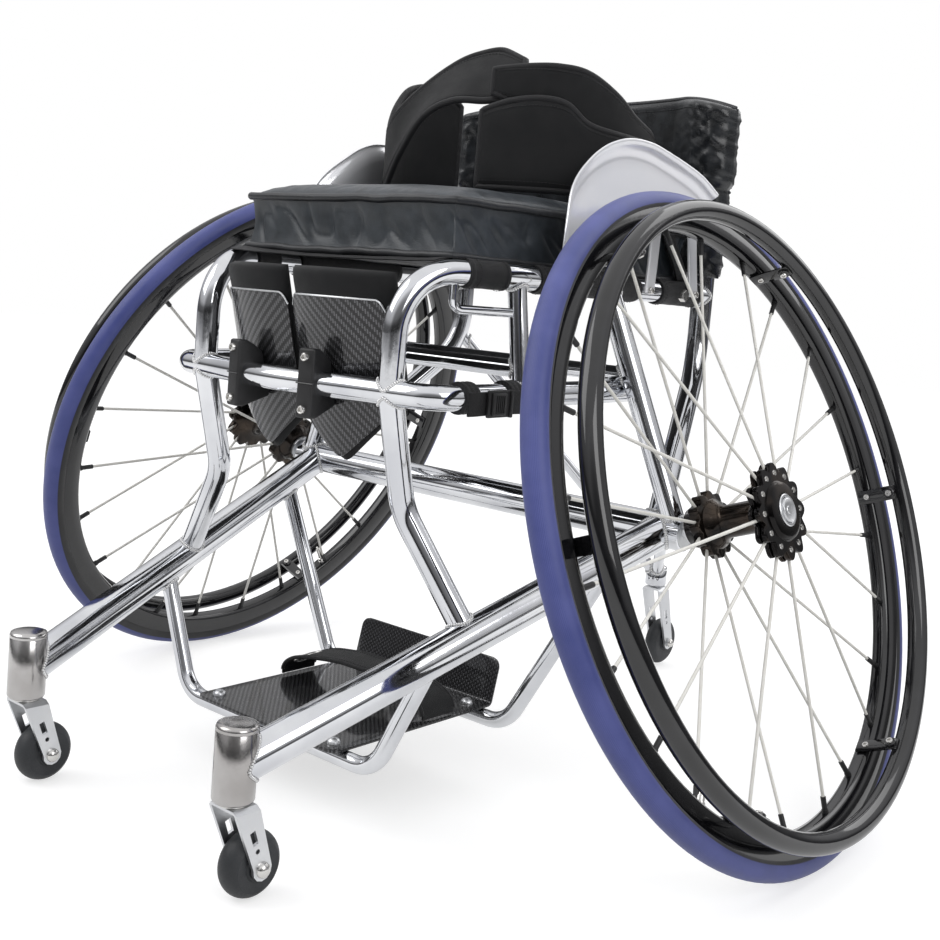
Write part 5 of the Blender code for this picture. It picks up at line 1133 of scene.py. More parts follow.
# %% Both wheels
for label, side in SIDES:
    at_axle, body = wheel_matrix(side), label + "_wheel"
    casing = lathe("tyre", tyre_profile, WHEEL_STEPS, at_axle, closed=True)
    add_piece(label + "_tyre_casing", casing, TYRE_BLUE, body, label + "_tyre")
    section = lathe("rim", rim_profile, WHEEL_STEPS, at_axle, closed=True)
    add_piece(label + "_rim_section", section, GLOSS_BLACK, body, label + "_rim", sharp=50)
    add_piece(label + "_hub_shell", hub_mesh("hub", at_axle), HUB_BLACK, body, label + "_hub", sharp=35)
    hoop = lathe("hoop", round_profile(*PUSH_RIM, 20), WHEEL_STEPS, at_axle, closed=True)
    add_piece(label + "_push_rim_tube", hoop, GLOSS_BLACK, body, label + "_push_rim")
    add_piece(label + "_axle_pin", axle_mesh("axle", at_axle), SATIN, "frame", label + "_axle", sharp=35)
    cap = lathe("cap", button_profile, 40, at_axle)
    add_piece(label + "_release_cap", cap, SATIN, label + "_button", label + "_release_button", sharp=35)
    for part, radius, length, material in SPOKE_PARTS:
        keys = {"phase": SPOKE_PHASE, "count": SPOKES, "radius": radius, "length": length}
        rods = grown(label + part, spoke_tree, single_point("seed"), at_axle, material=material, **keys)
        add_piece(label + "_" + part, rods, material, body)
    ringed(label + "_rim_brackets", RIM_BRACKET, BRACKETS, at_axle, GLOSS_BLACK, body)
    ringed(label + "_bracket_screws", BRACKET_SCREWS, BRACKETS, at_axle, STEEL, body)
print("wheels 2")

# %% Lobe bolts and the valve
lobe_bolt_profile = [
    (0, 0.0002), (0.0012, 0.0002), (0.0013, 0.0008), (0.0024, 0.0008), (0.0027, 0.0), (0, -0.0002),
]
on_flange = Matrix.Translation((0.0340, 0, 0.0398))
LOBE_BOLT = pattern("lobe_bolt", lathe("b", lobe_bolt_profile, 12, on_flange))
valve_profile = [
    (0, 0.030), (0.0014, 0.030), (0.0016, 0.0292), (0.0016, 0.0262), (0.0024, 0.0258), (0.0024, 0.0080),
    (0.0036, 0.0076), (0.0036, 0.0030), (0.0044, 0.0026), (0.0044, 0.0), (0, 0.0),
]
for label, side in SIDES:
    at_axle, body = wheel_matrix(side), label + "_wheel"
    ringed(label + "_lobe_bolts", LOBE_BOLT, LOBES, at_axle, STEEL, body)
    stand = Matrix.Rotation(VALVE_TURN, 4, "Z") @ along_axis((0.2684, 0, 0), (0.2400, 0, 0))
    add_piece(label + "_valve", lathe("valve", valve_profile, 20, at_axle @ stand), STEEL, body, sharp=35)

# %% [markdown]
# ## Casters
# The small front wheels are moulded urethane with a domed tread on a plain hub. Their forks are bent
# from pierced plate. The fork solids already have the right shape, so they stay and get a satin
# finish, with domed bolt heads and a stem washer as pieces of their own.

# %% Front casters and the anti-tip caster
ROLLER_RADIUS, ROLLER_WIDTH, CASTER_TRAIL, CASTER_BOLT_OUT = 0.0265, 0.0235, 0.020, 0.0158
BACK_ROLLER_RADIUS, BACK_ROLLER_WIDTH, BACK_BOLT_OUT = 0.0300, 0.0176, 0.0150
BACK_ROLLER = Vector((0, 0.423, 0.032))
TURN_X = Matrix.Rotation(pi / 2, 4, "Y")


def roller_mesh(name, radius, width, matrix):
    """A roller with plain hub faces and a domed tread."""
    half, sweep = width / 2, 62
    hub = [
        (0.0045, half - 0.0010), (0.0078, half - 0.0010), (0.0084, half - 0.0002), (0.0104, half),
        (0.0112, half - 0.0012),
    ]
    tread = [
        (radius - 0.34 * radius * (1 - cos(a)) * 1.35, -half * sin(a) / sin(radians(sweep)) * 0.985)
        for a in (radians(degrees) for degrees in spaced(-sweep, sweep, 18))
    ]
    profile = hub + tread + [(radius, -height) for radius, height in reversed(hub)]
    return lathe(name, profile, 56, matrix, closed=True)


def bolt_heads(name, centre, out, scale, body):
    """A domed bolt head on each side of a fork."""
    ends = [(centre + Vector((way * out, 0, 0)), (way, 0, 0)) for way in (1, -1)]
    fasteners(name, DOME_HEAD, ends, scale, STEEL, body)


washer_profile = [
    (0.0064, 0.0785), (0.0118, 0.0785), (0.0122, 0.0790), (0.0122, 0.0802), (0.0118, 0.0807),
    (0.0064, 0.0807),
]
for label, side in SIDES:
    centre = Vector((side * CASTER.x, CASTER.y + CASTER_TRAIL, ROLLER_RADIUS))
    roller = roller_mesh("roller", ROLLER_RADIUS, ROLLER_WIDTH, Matrix.Translation(centre) @ TURN_X)
    body, node_name = label + "_caster_roller", label + "_caster_wheel"
    add_piece(label + "_caster_roller_tread", roller, CASTER_RUBBER, body, node_name, sharp=35)
    swivel = label + "_caster_swivel"
    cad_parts[label + "_caster_fork"].data.materials[0] = SATIN
    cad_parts[label + "_caster_axle"].data.materials[0] = STEEL
    bolt_heads(label + "_caster_bolt_heads", centre, CASTER_BOLT_OUT, 0.0062, swivel)
    on_stem = Matrix.Translation((centre.x, CASTER.y, 0))
    washer = lathe("washer", washer_profile, 36, on_stem, closed=True)
    add_piece(label + "_caster_washer", washer, STEEL, swivel)
at_roller = Matrix.Translation(BACK_ROLLER) @ TURN_X
roller = roller_mesh("antitip_roller", BACK_ROLLER_RADIUS, BACK_ROLLER_WIDTH, at_roller)
add_piece("antitip_roller_tread", roller, CASTER_RUBBER, "antitip_roller", "antitip_wheel", sharp=35)
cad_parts["antitip_fork"].data.materials[0] = SATIN
bolt_heads("antitip_bolt_heads", BACK_ROLLER, BACK_BOLT_OUT, 0.0055, "antitip_swivel")
print("casters 3")

# %% [markdown]
# ## Sheets, pads and smooth curves
# Sheet parts are thin surfaces that get their wall from a Solidify modifier and their soft edge from a
# Bevel. Padded parts are closed skins placed by a function of three directions: across, along and
# through. Both start from a few real sizes joined by smooth curves.

# %% Helpers for sheets and pads
def worked(mesh, *steps):
    """Applies modifiers, given as (kind, settings), and hands back a plain mesh."""
    holder = bpy.data.objects.new(mesh.name, mesh)
    bpy.context.scene.collection.objects.link(holder)
    for kind, settings in steps:
        modifier = holder.modifiers.new(kind.lower(), kind)
        for key, value in settings.items():
            setattr(modifier, key, value)
    return baked(holder, mesh.name)


def wall(thickness):
    return ("SOLIDIFY", {"thickness": thickness, "offset": 0.0, "use_even_offset": True})


def soft_edge(width, segments=2, angle=50):
    limit = {"limit_method": "ANGLE", "angle_limit": radians(angle)}
    return ("BEVEL", {"width": width, "segments": segments} | limit)


def smooth_rows(stops, steps):
    """Rows of values on a smooth curve through the given stops."""
    made, last = [], len(stops) - 1
    for i in range(last):
        a, b, c, d = (Vector(stops[max(0, min(last, k))]) for k in (i - 1, i, i + 1, i + 2))
        for s in range(steps):
            t = s / steps
            square, cube = a * 2 - b * 5 + c * 4 - d, b * 3 - a - c * 3 + d
            made.append((b * 2 + (c - a) * t + square * t**2 + cube * t**3) * 0.5)
    return made + [Vector(stops[-1])]


def lay_uv(mesh, rule):
    """Writes the UV map, in metres, from each corner's place."""
    layer = mesh.uv_layers[0].data
    for item in mesh.loops:
        layer[item.index].uv = rule(mesh.vertices[item.vertex_index].co)
    return mesh


def merged(name, *meshes):
    shape = bmesh.new()
    for mesh in meshes:
        shape.from_mesh(mesh)
    bmesh.ops.remove_doubles(shape, verts=shape.verts, dist=0.00002)
    bmesh.ops.dissolve_degenerate(shape, edges=shape.edges, dist=0.00001)
    bmesh.ops.recalc_face_normals(shape, faces=shape.faces)
    made = bpy.data.meshes.new(name)
    shape.to_mesh(made)
    shape.free()
    return made


def pad_mesh(name, columns, rows, place, scale, levels=(1, 0.5, 0, -0.5, -1)):
    """A closed skin whose points, from -1 to 1 across, along and through, are placed by a function."""
    us, vs = spaced(-1, 1, columns), spaced(-1, 1, rows)
    inner = levels[1:-1]
    rings = []
    for v in vs:
        ring = [place(u, v, 1) for u in us] + [place(1, v, w) for w in inner]
        ring += [place(u, v, -1) for u in reversed(us)] + [place(-1, v, w) for w in reversed(inner)]
        rings.append(ring)
    skin = loft(name, rings, caps=False, scale=(scale[0] * 2, scale[1]))
    ends = []
    for v in (-1, 1):
        end_rows = [[place(u, v, w) for u in us] for w in levels]
        ends.append(loft(name, end_rows, closed=False, scale=scale))
    return merged(name, skin, *ends)


def crumple(point, size):
    """A smooth random height from -1 to 1 that is the same in every run."""
    return noise.noise(Vector(point) / size)


print("sheet and pad helpers ready")

# %% [markdown]
# ## Footrest
# The foot plate is one flat piece of plain-weave carbon with its rear edge turned up. It hangs on the
# two hoops by four bolts. It is drawn as rows across the plate that follow the bend.

# %% Foot plate and its bolts
PLATE_HALF, PLATE_WALL, PLATE_CORNER = 0.095, 0.0025, 0.010
plate_z = HOOP_Z + LIGHT + 0.0003 + PLATE_WALL / 2
plate_corners = ((0, -0.275, plate_z), (0, -0.058, plate_z), (0, -0.048, plate_z + 0.0448))
plate_line = rounded_path(plate_corners, (0.005,))
finer = []
for a, b in zip(plate_line, plate_line[1:]):
    count = max(1, ceil((b - a).length / 0.0015)) if (b - a).length > 0.01 else 1
    finer += [a.lerp(b, i / count) for i in range(count)]
plate_line = finer + [plate_line[-1]]
gone = [0.0]
for a, b in zip(plate_line, plate_line[1:]):
    gone.append(gone[-1] + (b - a).length)
rows = []
for point, start in zip(plate_line, gone):
    # Near both ends the plate narrows along the quarter circle of its corners.
    short = max(0, PLATE_CORNER - min(start, gone[-1] - start))
    half = PLATE_HALF - (PLATE_CORNER - sqrt(max(0, PLATE_CORNER**2 - short**2)))
    rows.append([Vector((half * share, point.y, point.z)) for share in spaced(1, -1, 12)])
plate = lay_uv(loft("foot_plate_carbon", rows, closed=False), lambda co: (co.x, co.y + co.z))
plate = worked(plate, wall(PLATE_WALL), soft_edge(0.0005))
add_piece("foot_plate_carbon", plate, CARBON_PLAIN, "frame", "foot_plate", sharp=35)
for name, piece, lift, scale, material in (
    ("foot_plate_bolts", SOCKET_HEAD, 0.0012, 0.0046, STEEL),
    ("foot_plate_washers", DOME_HEAD, 0.0010, 0.0066, SATIN),
):
    spots = [(Vector((x, y, plate_z + lift)), Z_AXIS) for x in (0.079, -0.079) for y in (-0.259, -0.076)]
    fasteners(name, piece, spots, scale, material, "frame")
print("plate rows", len(rows))

# %% [markdown]
# The strap that holds the feet is a flat neoprene band with bound edges and a metal ring. It arches
# over the plate, and both ends lie on it.

# %% Foot strap, its binding and its ring
STRAP_HALF, STRAP_BOTTOM, STRAP_RISE, STRAP_Y, STRAP_EDGE = 0.091, 0.0681, 0.0300, -0.140, 0.0222


def foot_strap_point(s, v, lift=0.0):
    """s runs from 0 to 1 across the plate, and v from -1 to 1 across the strap."""
    a = pi * s
    rise = sin(a) ** 0.7 if 0 < s < 1 else 0
    x = STRAP_HALF * cos(a)
    wave = 0.0012 * crumple((x, v * 0.02, 0.3), 0.03) * rise
    z = STRAP_BOTTOM + STRAP_RISE * rise + wave + lift + 0.0012
    return Vector((x, STRAP_Y + 0.006 * cos(a) + v * STRAP_EDGE, z))


rows = [[foot_strap_point(s, v) for v in spaced(-1, 1, 14)] for s in spaced(0, 1, 72)]
strap = loft("foot_strap_band", rows, closed=False, scale=(0.045, 0.24))
strap = worked(strap, wall(0.0024), soft_edge(0.0008))
foot_strap = add_piece("foot_strap_band", strap, NEOPRENE, "frame", "foot_strap")
shares = [i / 90 for i in range(91)]
edges = [[foot_strap_point(s, v) for s in shares[2:-2]] for v in (-1, 1)]
binding = joined("binding", *[tube_mesh("edge", line, 0.0019, 10) for line in edges])
add_piece("foot_strap_binding", binding, WEBBING, "frame")
seam_lines = [[foot_strap_point(s, v, 0.0014) for s in shares[3:-3]] for v in (-0.80, 0.80)]
beaded("foot_strap_stitches", seam_lines, 0.0030, STITCH, THREAD)
RING_CENTRE = (-0.0740, -0.1500, 0.0880)
RING_HALF = (0.0095, 0.0150, 0.0060)
ring_line = [
    Vector([centre + half * turn(a) for centre, half, turn in zip(RING_CENTRE, RING_HALF, (cos, sin, cos))])
    for a in around(40)
]
add_piece("foot_strap_ring", tube_mesh("ring", ring_line, 0.0018, 12, loop=True), STEEL)

# %% [markdown]
# ## Knee supports
# Two twill carbon shells hold the knees. Each is clamped to the knee bar, lined with a neoprene pad
# and turns about the bar. The shell is part of a cylinder whose top leans forward, and it tapers to a
# low tip. A thin pale trim runs along its top edge.

# %% The shell's surface
SHELL_RADIUS, SHELL_X, SHELL_YAW, SHELL_HALF = 0.0965, 0.0545, radians(10), radians(31)
SHELL_TOP, SHELL_TIP, SHELL_LEAN, SHELL_WALL = 0.457, 0.317, 0.020, 0.0016


def shell_centre_y(z):
    """Where the axis of the shell's cylinder stands at a height."""
    share = (z - KNEE_Z) / (SHELL_TOP - KNEE_Z)
    return knee_bar_point(SHELL_X).y + MEDIUM + 0.0040 - SHELL_LEAN * share + SHELL_RADIUS


def shell_point(side, across, z, depth):
    """across runs from -1 at the inner edge to 1 at the outer edge."""
    angle = SHELL_YAW + across * SHELL_HALF
    radius = SHELL_RADIUS - depth
    x = SHELL_X + radius * sin(angle) - SHELL_RADIUS * sin(SHELL_YAW)
    return Vector((side * x, shell_centre_y(z) - radius * cos(angle), z))


def shell_low(across):
    return SHELL_TIP + 0.045 * sqrt((across + 0.15) ** 2 + 0.01) - 0.0045


def shell_top(across):
    """The top edge is level, with its two corners rounded off."""
    return SHELL_TOP - 0.010 * max(0, (abs(across) - 0.84) / 0.16) ** 2


def shell_mesh(name, side, depth):
    def cloth_place(co):
        """Arc length round the shell, and height, so the tows keep their width all over."""
        beside = side * co.x - SHELL_X + SHELL_RADIUS * sin(SHELL_YAW)
        return SHELL_RADIUS * atan2(beside, shell_centre_y(co.z) - co.y), co.z

    rows = []
    for share in spaced(0, 1, 32):
        row = []
        for across in spaced(-1, 1, 28):
            low = shell_low(across)
            row.append(shell_point(side, across, low + (shell_top(across) - low) * share, depth))
        rows.append(row)
    return lay_uv(loft(name, rows, closed=False), cloth_place)


for label, side in SIDES:
    body = label + "_knee_support"
    mesh = worked(shell_mesh(label + "_shell", side, SHELL_WALL / 2), wall(SHELL_WALL), soft_edge(0.0004))
    add_piece(label + "_knee_shell_carbon", mesh, CARBON_TWILL, body, label + "_knee_shell")
    rim_line = [shell_point(side, across, shell_top(across), SHELL_WALL / 2) for across in spaced(-1, 1, 40)]
    add_piece(label + "_knee_shell_edge", tube_mesh("edge", rim_line, 0.00095, 8), SATIN, body)

# %% The pads that line the shells
PAD_INNER, PAD_OUTER, PAD_ABOVE, PAD_DEPTH = 1.03, 1.26, 0.025, 0.0084
for label, side in SIDES:
    def pad_place(u, v, w):
        across = u * (PAD_OUTER if u > 0 else PAD_INNER)
        low = shell_low(across) - 0.004
        z = low + (SHELL_TOP + PAD_ABOVE - low) * (v + 1) / 2
        round_edge = (1 - abs(u) ** 8) ** 0.5 * (1 - abs(v) ** 10) ** 0.5
        puff = (0.0062 + 0.0040 * max(0, v) ** 4) * round_edge + 0.0003
        point = shell_point(side, across, z, PAD_DEPTH + w * puff)
        if w > 0:
            point.y += 0.0010 * crumple(point, 0.022) * round_edge
        return point

    body = label + "_knee_support"
    mesh = pad_mesh(label + "_knee_pad_foam", 34, 44, pad_place, (0.11, 0.15))
    pad = add_piece(label + "_knee_pad_foam", mesh, NEOPRENE, body, label + "_knee_pad", sharp=60)
    seam_lines = [[pad_place(u, v, 0.98) for u in spaced(-0.93, 0.93, 60)] for v in (0.90, -0.90)]
    seam_lines += [[pad_place(u, v, 0.98) for v in spaced(-0.90, 0.90, 70)] for u in (0.90, -0.90)]
    beaded(label + "_knee_pad_stitches", seam_lines, 0.0032, STITCH, THREAD, body)
print("knee supports", 2)

# %% Clamps on the knee bar
def prism(name, outline, width):
    """A flat outline of (forward, up) pairs, made as wide as asked along X."""
    rings = [[Vector((x, y, z)) for y, z in outline] for x in (-width / 2, width / 2)]
    return worked(loft(name, rings), soft_edge(0.0022, 3, 35))


# The back of the clamp leans with the shell, and its nose is cut off above and below.
clamp_back = [(0.0150 - 0.267 * z + 0.0004, z) for z in spaced(-0.0200, 0.0200, 8)]
clamp_nose = [(0.0020, 0.0262), (-0.0060, 0.0300), (-0.0150, 0.0300)]
clamp_chin = [(-0.0150, -0.0300), (-0.0060, -0.0300), (0.0040, -0.0262)]
CLAMP_OUTLINE, CLAMP_X, CLAMP_WIDTH = clamp_back + clamp_nose + clamp_chin, 0.045, 0.017
for label, side in SIDES:
    body = label + "_knee_support"
    centre = knee_bar_point(side * CLAMP_X)
    run = (knee_bar_point(side * 0.12) - centre).normalized() * side
    stand = Matrix.Translation(centre) @ Matrix.Rotation(atan2(run.y, run.x), 4, "Z")
    clamp = prism("clamp", CLAMP_OUTLINE, CLAMP_WIDTH)
    clamp.transform(stand)
    add_piece(label + "_knee_clamp_block", clamp, MATT_BLACK, body, label + "_knee_clamp", sharp=35)
    out = stand.to_3x3() @ Vector((0, -1, 0))
    spots = [(stand @ Vector((0, -0.0149, z)), tuple(out)) for z in (0.0225, -0.0225)]
    fasteners(label + "_clamp_screws", SOCKET_HEAD, spots, 0.0040, STEEL, body)
    split_line = [stand @ Vector((x, -0.0152, 0.0)) for x in (-0.0088, 0.0088)]
    add_piece(label + "_clamp_split", tube_mesh("slot", split_line, 0.0007, 8), GLOSS_BLACK, body)
print("clamps", 2)

# %% [markdown]
# ## Side guards
# A polished sheet stands beside the cushion and keeps clothes off the tyre. Its top edge is rolled
# outward. The guard is a surface between its rim and its foot line, and the lip is the first rows.

# %% Side guards
GUARD_RIM = (
    (-0.120, 0.492), (-0.117, 0.509), (-0.108, 0.544), (-0.100, 0.568), (-0.086, 0.586), (-0.061, 0.605),
    (-0.038, 0.618), (-0.010, 0.626), (0.021, 0.626), (0.049, 0.6195), (0.079, 0.6105), (0.100, 0.602),
    (0.121, 0.588),
)
GUARD_FOOT = (
    (-0.095, 0.491), (-0.085, 0.494), (-0.070, 0.498), (-0.055, 0.501), (-0.040, 0.504), (-0.025, 0.507),
    (-0.010, 0.513), (0.010, 0.524), (0.030, 0.538), (0.050, 0.549), (0.070, 0.556), (0.088, 0.561),
    (0.103, 0.566),
)
# How far in from the rim, and how far out of the sheet, each row of the rolled lip lies.
GUARD_LIP = (
    (0.0000, 0.0088), (0.0012, 0.0092), (0.0030, 0.0086), (0.0060, 0.0062), (0.0095, 0.0036),
    (0.0130, 0.0018), (0.0165, 0.0006), (0.0200, 0.0),
)
GUARD_X, GUARD_SPLAY, GUARD_LEAN = 0.1706, tan(radians(8.2)), tan(radians(8.5))
# Each leg: its foot's y and how far beside the rail it stands, then the y and z of its top.
GUARD_LEGS = ((0.036, 0.0116, 0.034, 0.552), (0.116, 0.0126, 0.088, 0.572))
GUARD_SCREWS = ((0.034, 0.545), (0.088, 0.566), (-0.104, 0.500))


def guard_x(y, z):
    return GUARD_X + GUARD_SPLAY * max(0, y + 0.060) - GUARD_LEAN * (z - RAIL_Z)


def guard_leg(side, foot_y, beside, top_y, top_z):
    """A flat strip from beside the rail up to the sheet."""
    foot_x = rail_x(foot_y) + beside + 0.0013
    foot = Vector((foot_x, foot_y, RAIL_Z - 0.0026))
    top = Vector((guard_x(top_y, top_z) + 0.0018, top_y, top_z))
    bend = foot.lerp(top, 0.3)
    bend.x, bend.z = foot_x + 0.0013, RAIL_Z + 0.022
    rows = [
        [Vector((side * point.x, point.y + shift, point.z)) for shift in spaced(-0.008, 0.008, 6)]
        for point in smooth_rows((foot, bend, top), 8)
    ]
    return worked(loft("leg", rows, closed=False), wall(0.0026), soft_edge(0.0008))


rim_points, foot_points = smooth_rows(GUARD_RIM, 6), smooth_rows(GUARD_FOOT, 6)
for label, side in SIDES:
    rows = []
    for reach_in, flare in GUARD_LIP:
        row = []
        for rim, foot in zip(rim_points, foot_points):
            y, z = rim + (foot - rim).normalized() * reach_in
            row.append(Vector((side * (guard_x(y, z) + flare), y, z)))
        rows.append(row)
    for share in spaced(0, 1, 8)[1:]:
        row = []
        for rim, foot in zip(rim_points, foot_points):
            y, z = (rim + (foot - rim).normalized() * GUARD_LIP[-1][0]).lerp(foot, share)
            row.append(Vector((side * guard_x(y, z), y, z)))
        rows.append(row)
    sheet_part = worked(loft("guard", rows, closed=False), wall(0.0016), soft_edge(0.0005))
    guard = joined("guard", sheet_part, *[guard_leg(side, *leg) for leg in GUARD_LEGS])
    add_piece(label + "_side_guard_sheet", guard, GUARD_SHEET, "frame", label + "_side_guard")
    spots = []
    for y, z in GUARD_SCREWS:
        out = 0.0030 if y > 0 else 0.0008
        spots.append((Vector((side * (guard_x(y, z) + out), y, z)), (side * 0.98, 0, 0.15)))
    for foot_y, beside, *_ in GUARD_LEGS:
        spots.append((Vector((side * (rail_x(foot_y) + beside + 0.0026), foot_y, RAIL_Z)), (side, 0, 0)))
    fasteners(label + "_guard_screws", SOCKET_HEAD, spots, 0.0036, STEEL, "frame")
print("guards", 2)

# %% [markdown]
# ## Seat sling
# A cloth sling is stretched from rail to rail. It wraps over the front bends, and stitched sleeves
# hold it to the rails. The sheet gets a slight sag, since cloth between two rails is never quite flat.

# %% Sling, sleeves and stitches
lift = MEDIUM + 0.0003 + 0.0006
# The cloth runs from where the front bend is this steep to a little before the back posts.
SLING_STEEPEST, SLING_REAR_Y, SLING_SAG = 0.42, 0.140, 0.0035
SLEEVES = ((-0.205, -0.166), (-0.130, 0.026), (0.064, 0.138))
sling_rows = []
dense = []
for a, b in zip(rail_line, rail_line[1:]):
    count = max(1, ceil((b - a).length / 0.012))
    dense += [a.lerp(b, i / count) for i in range(count)]
dense.append(rail_line[-1])
for before, point, after in zip(dense, dense[1:], dense[2:]):
    run = (after - before).normalized()
    if run.z > SLING_STEEPEST or after.y > SLING_REAR_Y:
        continue
    spot = point + Vector((0, -run.z, sqrt(max(0, 1 - run.z**2)))) * lift
    row = []
    for u in spaced(1, -1, 32):
        sag = SLING_SAG * (1 - u**2) + 0.0008 * crumple((u * 0.14, point.y, 0.0), 0.03)
        row.append(Vector((u * spot.x, spot.y + sag * run.z, spot.z - sag * (1 - run.z))))
    sling_rows.append(row)
sling_length = sum((a[0] - b[0]).length for a, b in zip(sling_rows, sling_rows[1:]))
cloth = loft("sling", sling_rows, closed=False, scale=(0.31, sling_length))
sling = add_piece("seat_sling_cloth", worked(cloth, wall(0.0010)), WEBBING, "frame", "seat_sling")
sleeves, hems = [], []
HEM_RADIUS, SLEEVE_STEPS = 0.0131, 40


def sleeve_x(y):
    """Where the rail lies beside a y, behind its kink and in front of it."""
    if y >= RAIL_KINK[1]:
        return rail_x(y)
    return on_line((*RAIL_KINK, 0), (rail_joint.x, rail_joint.y, 0), 1, y).x


for _, side in SIDES:
    for start_y, end_y in SLEEVES:
        line, sizes = [], []
        for i, y in enumerate(spaced(start_y, end_y, SLEEVE_STEPS)):
            line.append(Vector((side * sleeve_x(y), y, RAIL_Z)))
            hem = 0.0005 if 0 < min(i, SLEEVE_STEPS - i) < 4 else 0
            sizes.append(MEDIUM + 0.0014 + 0.0004 * crumple((sleeve_x(y), y, side), 0.012) + hem)
        sleeves.append(tube_mesh("sleeve", line, sizes, 26))
        for y in (start_y + 0.006, end_y - 0.006):
            circle = [(sleeve_x(y) + HEM_RADIUS * cos(a), HEM_RADIUS * sin(a)) for a in around(30)]
            hems.append([Vector((side * x, y, RAIL_Z + rise)) for x, rise in circle])
add_piece("sling_sleeves", joined("sleeves", *sleeves), WEBBING)
beaded("sleeve_stitches", hems, 0.0030, STITCH, THREAD, loop=True)

# %% [markdown]
# ## Seat cushion
# The cushion is a boxed one: a crowned top and a flat base sewn to a boxing strip, with piping in both
# seams. The strip pulls in between the seams and crinkles, and the top puckers beside the piping.

# %% Cushion cover
CUSHION_BOTTOM, CUSHION_SEAM, CUSHION_CROWN = RAIL_Z + MEDIUM + 0.0019, 0.546, 0.019
CUSHION_FRONT_Y, CUSHION_LENGTH, CUSHION_FRONT_HALF, CUSHION_WIDENS = -0.218, 0.352, 0.136, 0.021


def cushion_place(u, v, w):
    share = (v + 1) / 2
    half = CUSHION_FRONT_HALF + CUSHION_WIDENS * share
    x = u * half * sqrt(1 - 0.05 * v**8)
    y = CUSHION_FRONT_Y + CUSHION_LENGTH * share - 0.004 * v * u**8
    waist = 1 - w * w
    # The boxing strip is pulled in between its seams, with sharp creases that slant and a softer wave.
    lean = w * 0.013
    crease = (1 - abs(crumple((x + lean, y + lean, 0.2 + w * 0.006), 0.024))) ** 7 - 0.30
    fold = -0.85 * crease + 0.45 * crumple((x + lean, y + lean, w * 0.012), 0.030)
    inward = 0.0036 * waist - 0.0040 * waist * fold
    x -= inward * u**9
    y -= inward * v**9
    z = CUSHION_BOTTOM + (CUSHION_SEAM - CUSHION_BOTTOM) * (w + 1) / 2
    if w == 1:
        edge = min(1 - abs(u), 1 - abs(v))
        crown = CUSHION_CROWN * (1 - abs(u) ** 6) ** 0.5 * (1 - abs(v) ** 6) ** 0.5
        pucker = 0.0016 * crumple((x, y, 0.1), 0.010) * (edge * 14) * max(0, 1 - edge * 6)
        z += crown + pucker + 0.0022 * crumple((x, y, 0.5), 0.07) * min(1, edge * 5)
    return Vector((x, y, z))


cushion_mesh = pad_mesh("cushion", 150, 132, cushion_place, (0.30, 0.35), spaced(1, -1, 14))
cushion = add_piece("seat_cushion_cover", cushion_mesh, VINYL, "frame", "seat_cushion", sharp=60)


def round_edge_line(place, level, count=70):
    """The line round the edge of a pad at one level."""
    out, home = spaced(-1, 1, count)[:-1], spaced(1, -1, count)[:-1]
    spots = [(u, -1) for u in out] + [(1, v) for v in out] + [(u, 1) for u in home] + [(-1, v) for v in home]
    return [place(u, v, level) for u, v in spots]


pipes = []
for level, shift in ((1, 0.0006), (-1, -0.0002)):
    edge_line = round_edge_line(cushion_place, 0.9999 * level)
    line = [p + Vector((0, 0, shift + 0.0014 * crumple(p, 0.03))) for p in edge_line]
    pipes.append(tube_mesh("pipe", line, 0.0038, 12, loop=True))
add_piece("cushion_piping", joined("cushion_piping", *pipes), PIPING)
print("cushion faces", len(cushion_mesh.polygons))

# %% [markdown]
# ## Back upholstery
# The back is a padded sleeve slipped over both posts. It wraps each post in a thick roll, sags between
# them, and its upper half is folded over behind. Vinyl that turns round a post always crumples.

# %% Back cover
BACK_BOTTOM, BACK_HEIGHT, BACK_FOLD_Z, BACK_SAG = 0.505, 0.190, 0.594, 0.035
POST_ROLL, PAD_HALF = 0.017, 0.007  # half the thickness round a post, and between the posts
POST_X, POST_Y = BACK_POST


def back_place(u, v, w):
    shoulder = max(0, (abs(u) - 0.52) / 0.48) ** 1.4
    z = BACK_BOTTOM + (BACK_HEIGHT - 0.016 * shoulder) * (v + 1) / 2
    blend = min(1, max(0, (z - BACK_FOLD_Z) / 0.012))
    roll = POST_ROLL + 0.004 * blend * blend * (3 - 2 * blend)
    reach_x = POST_X + roll
    share = abs(u) ** 0.75
    way = 1 if u > 0 else -1
    x = reach_x * share * way
    y = POST_Y + BACK_SAG * max(0, cos(min(1, share * reach_x / POST_X) * pi / 2))
    near_post = max(0, 1 - abs(share * reach_x - POST_X) / 0.060)
    depth = PAD_HALF + (roll * 1.10 - PAD_HALF) * min(1, 1.6 * near_post) ** 1.2
    if w > 0:
        depth = depth * (1 - blend) + max(depth, POST_ROLL) * blend
    over = (share * reach_x - POST_X) / roll
    if over > 0:
        depth = roll * 1.10 * sqrt(max(0, 1 - min(1, over) ** 2)) + 0.0002
    hem = max(0, (abs(v) - 0.94) / 0.06)
    depth *= sqrt(max(0, 1 - hem * hem)) * 0.86 + 0.14
    # Soft dents and sharp creases, which are strongest round the posts.
    dents = crumple((x * 1.4, y * 1.4, z * 2.2 + x), 0.012)
    sharp_creases = (1 - abs(crumple((x, y, z * 1.5 + y), 0.020))) ** 6 - 0.3
    crease = 0.9 * dents + 1.4 * sharp_creases
    loose = min(1, 1.8 * near_post) * (1 - hem) + (0.25 if w > 0 else 0.05)
    depth += 0.0011 * crease * min(1, loose) * (1 if abs(u) < 1 else 0)
    if over > 0:
        x += way * 0.0006 * crease * (1 - hem)
    return Vector((x, y + w * depth, z))


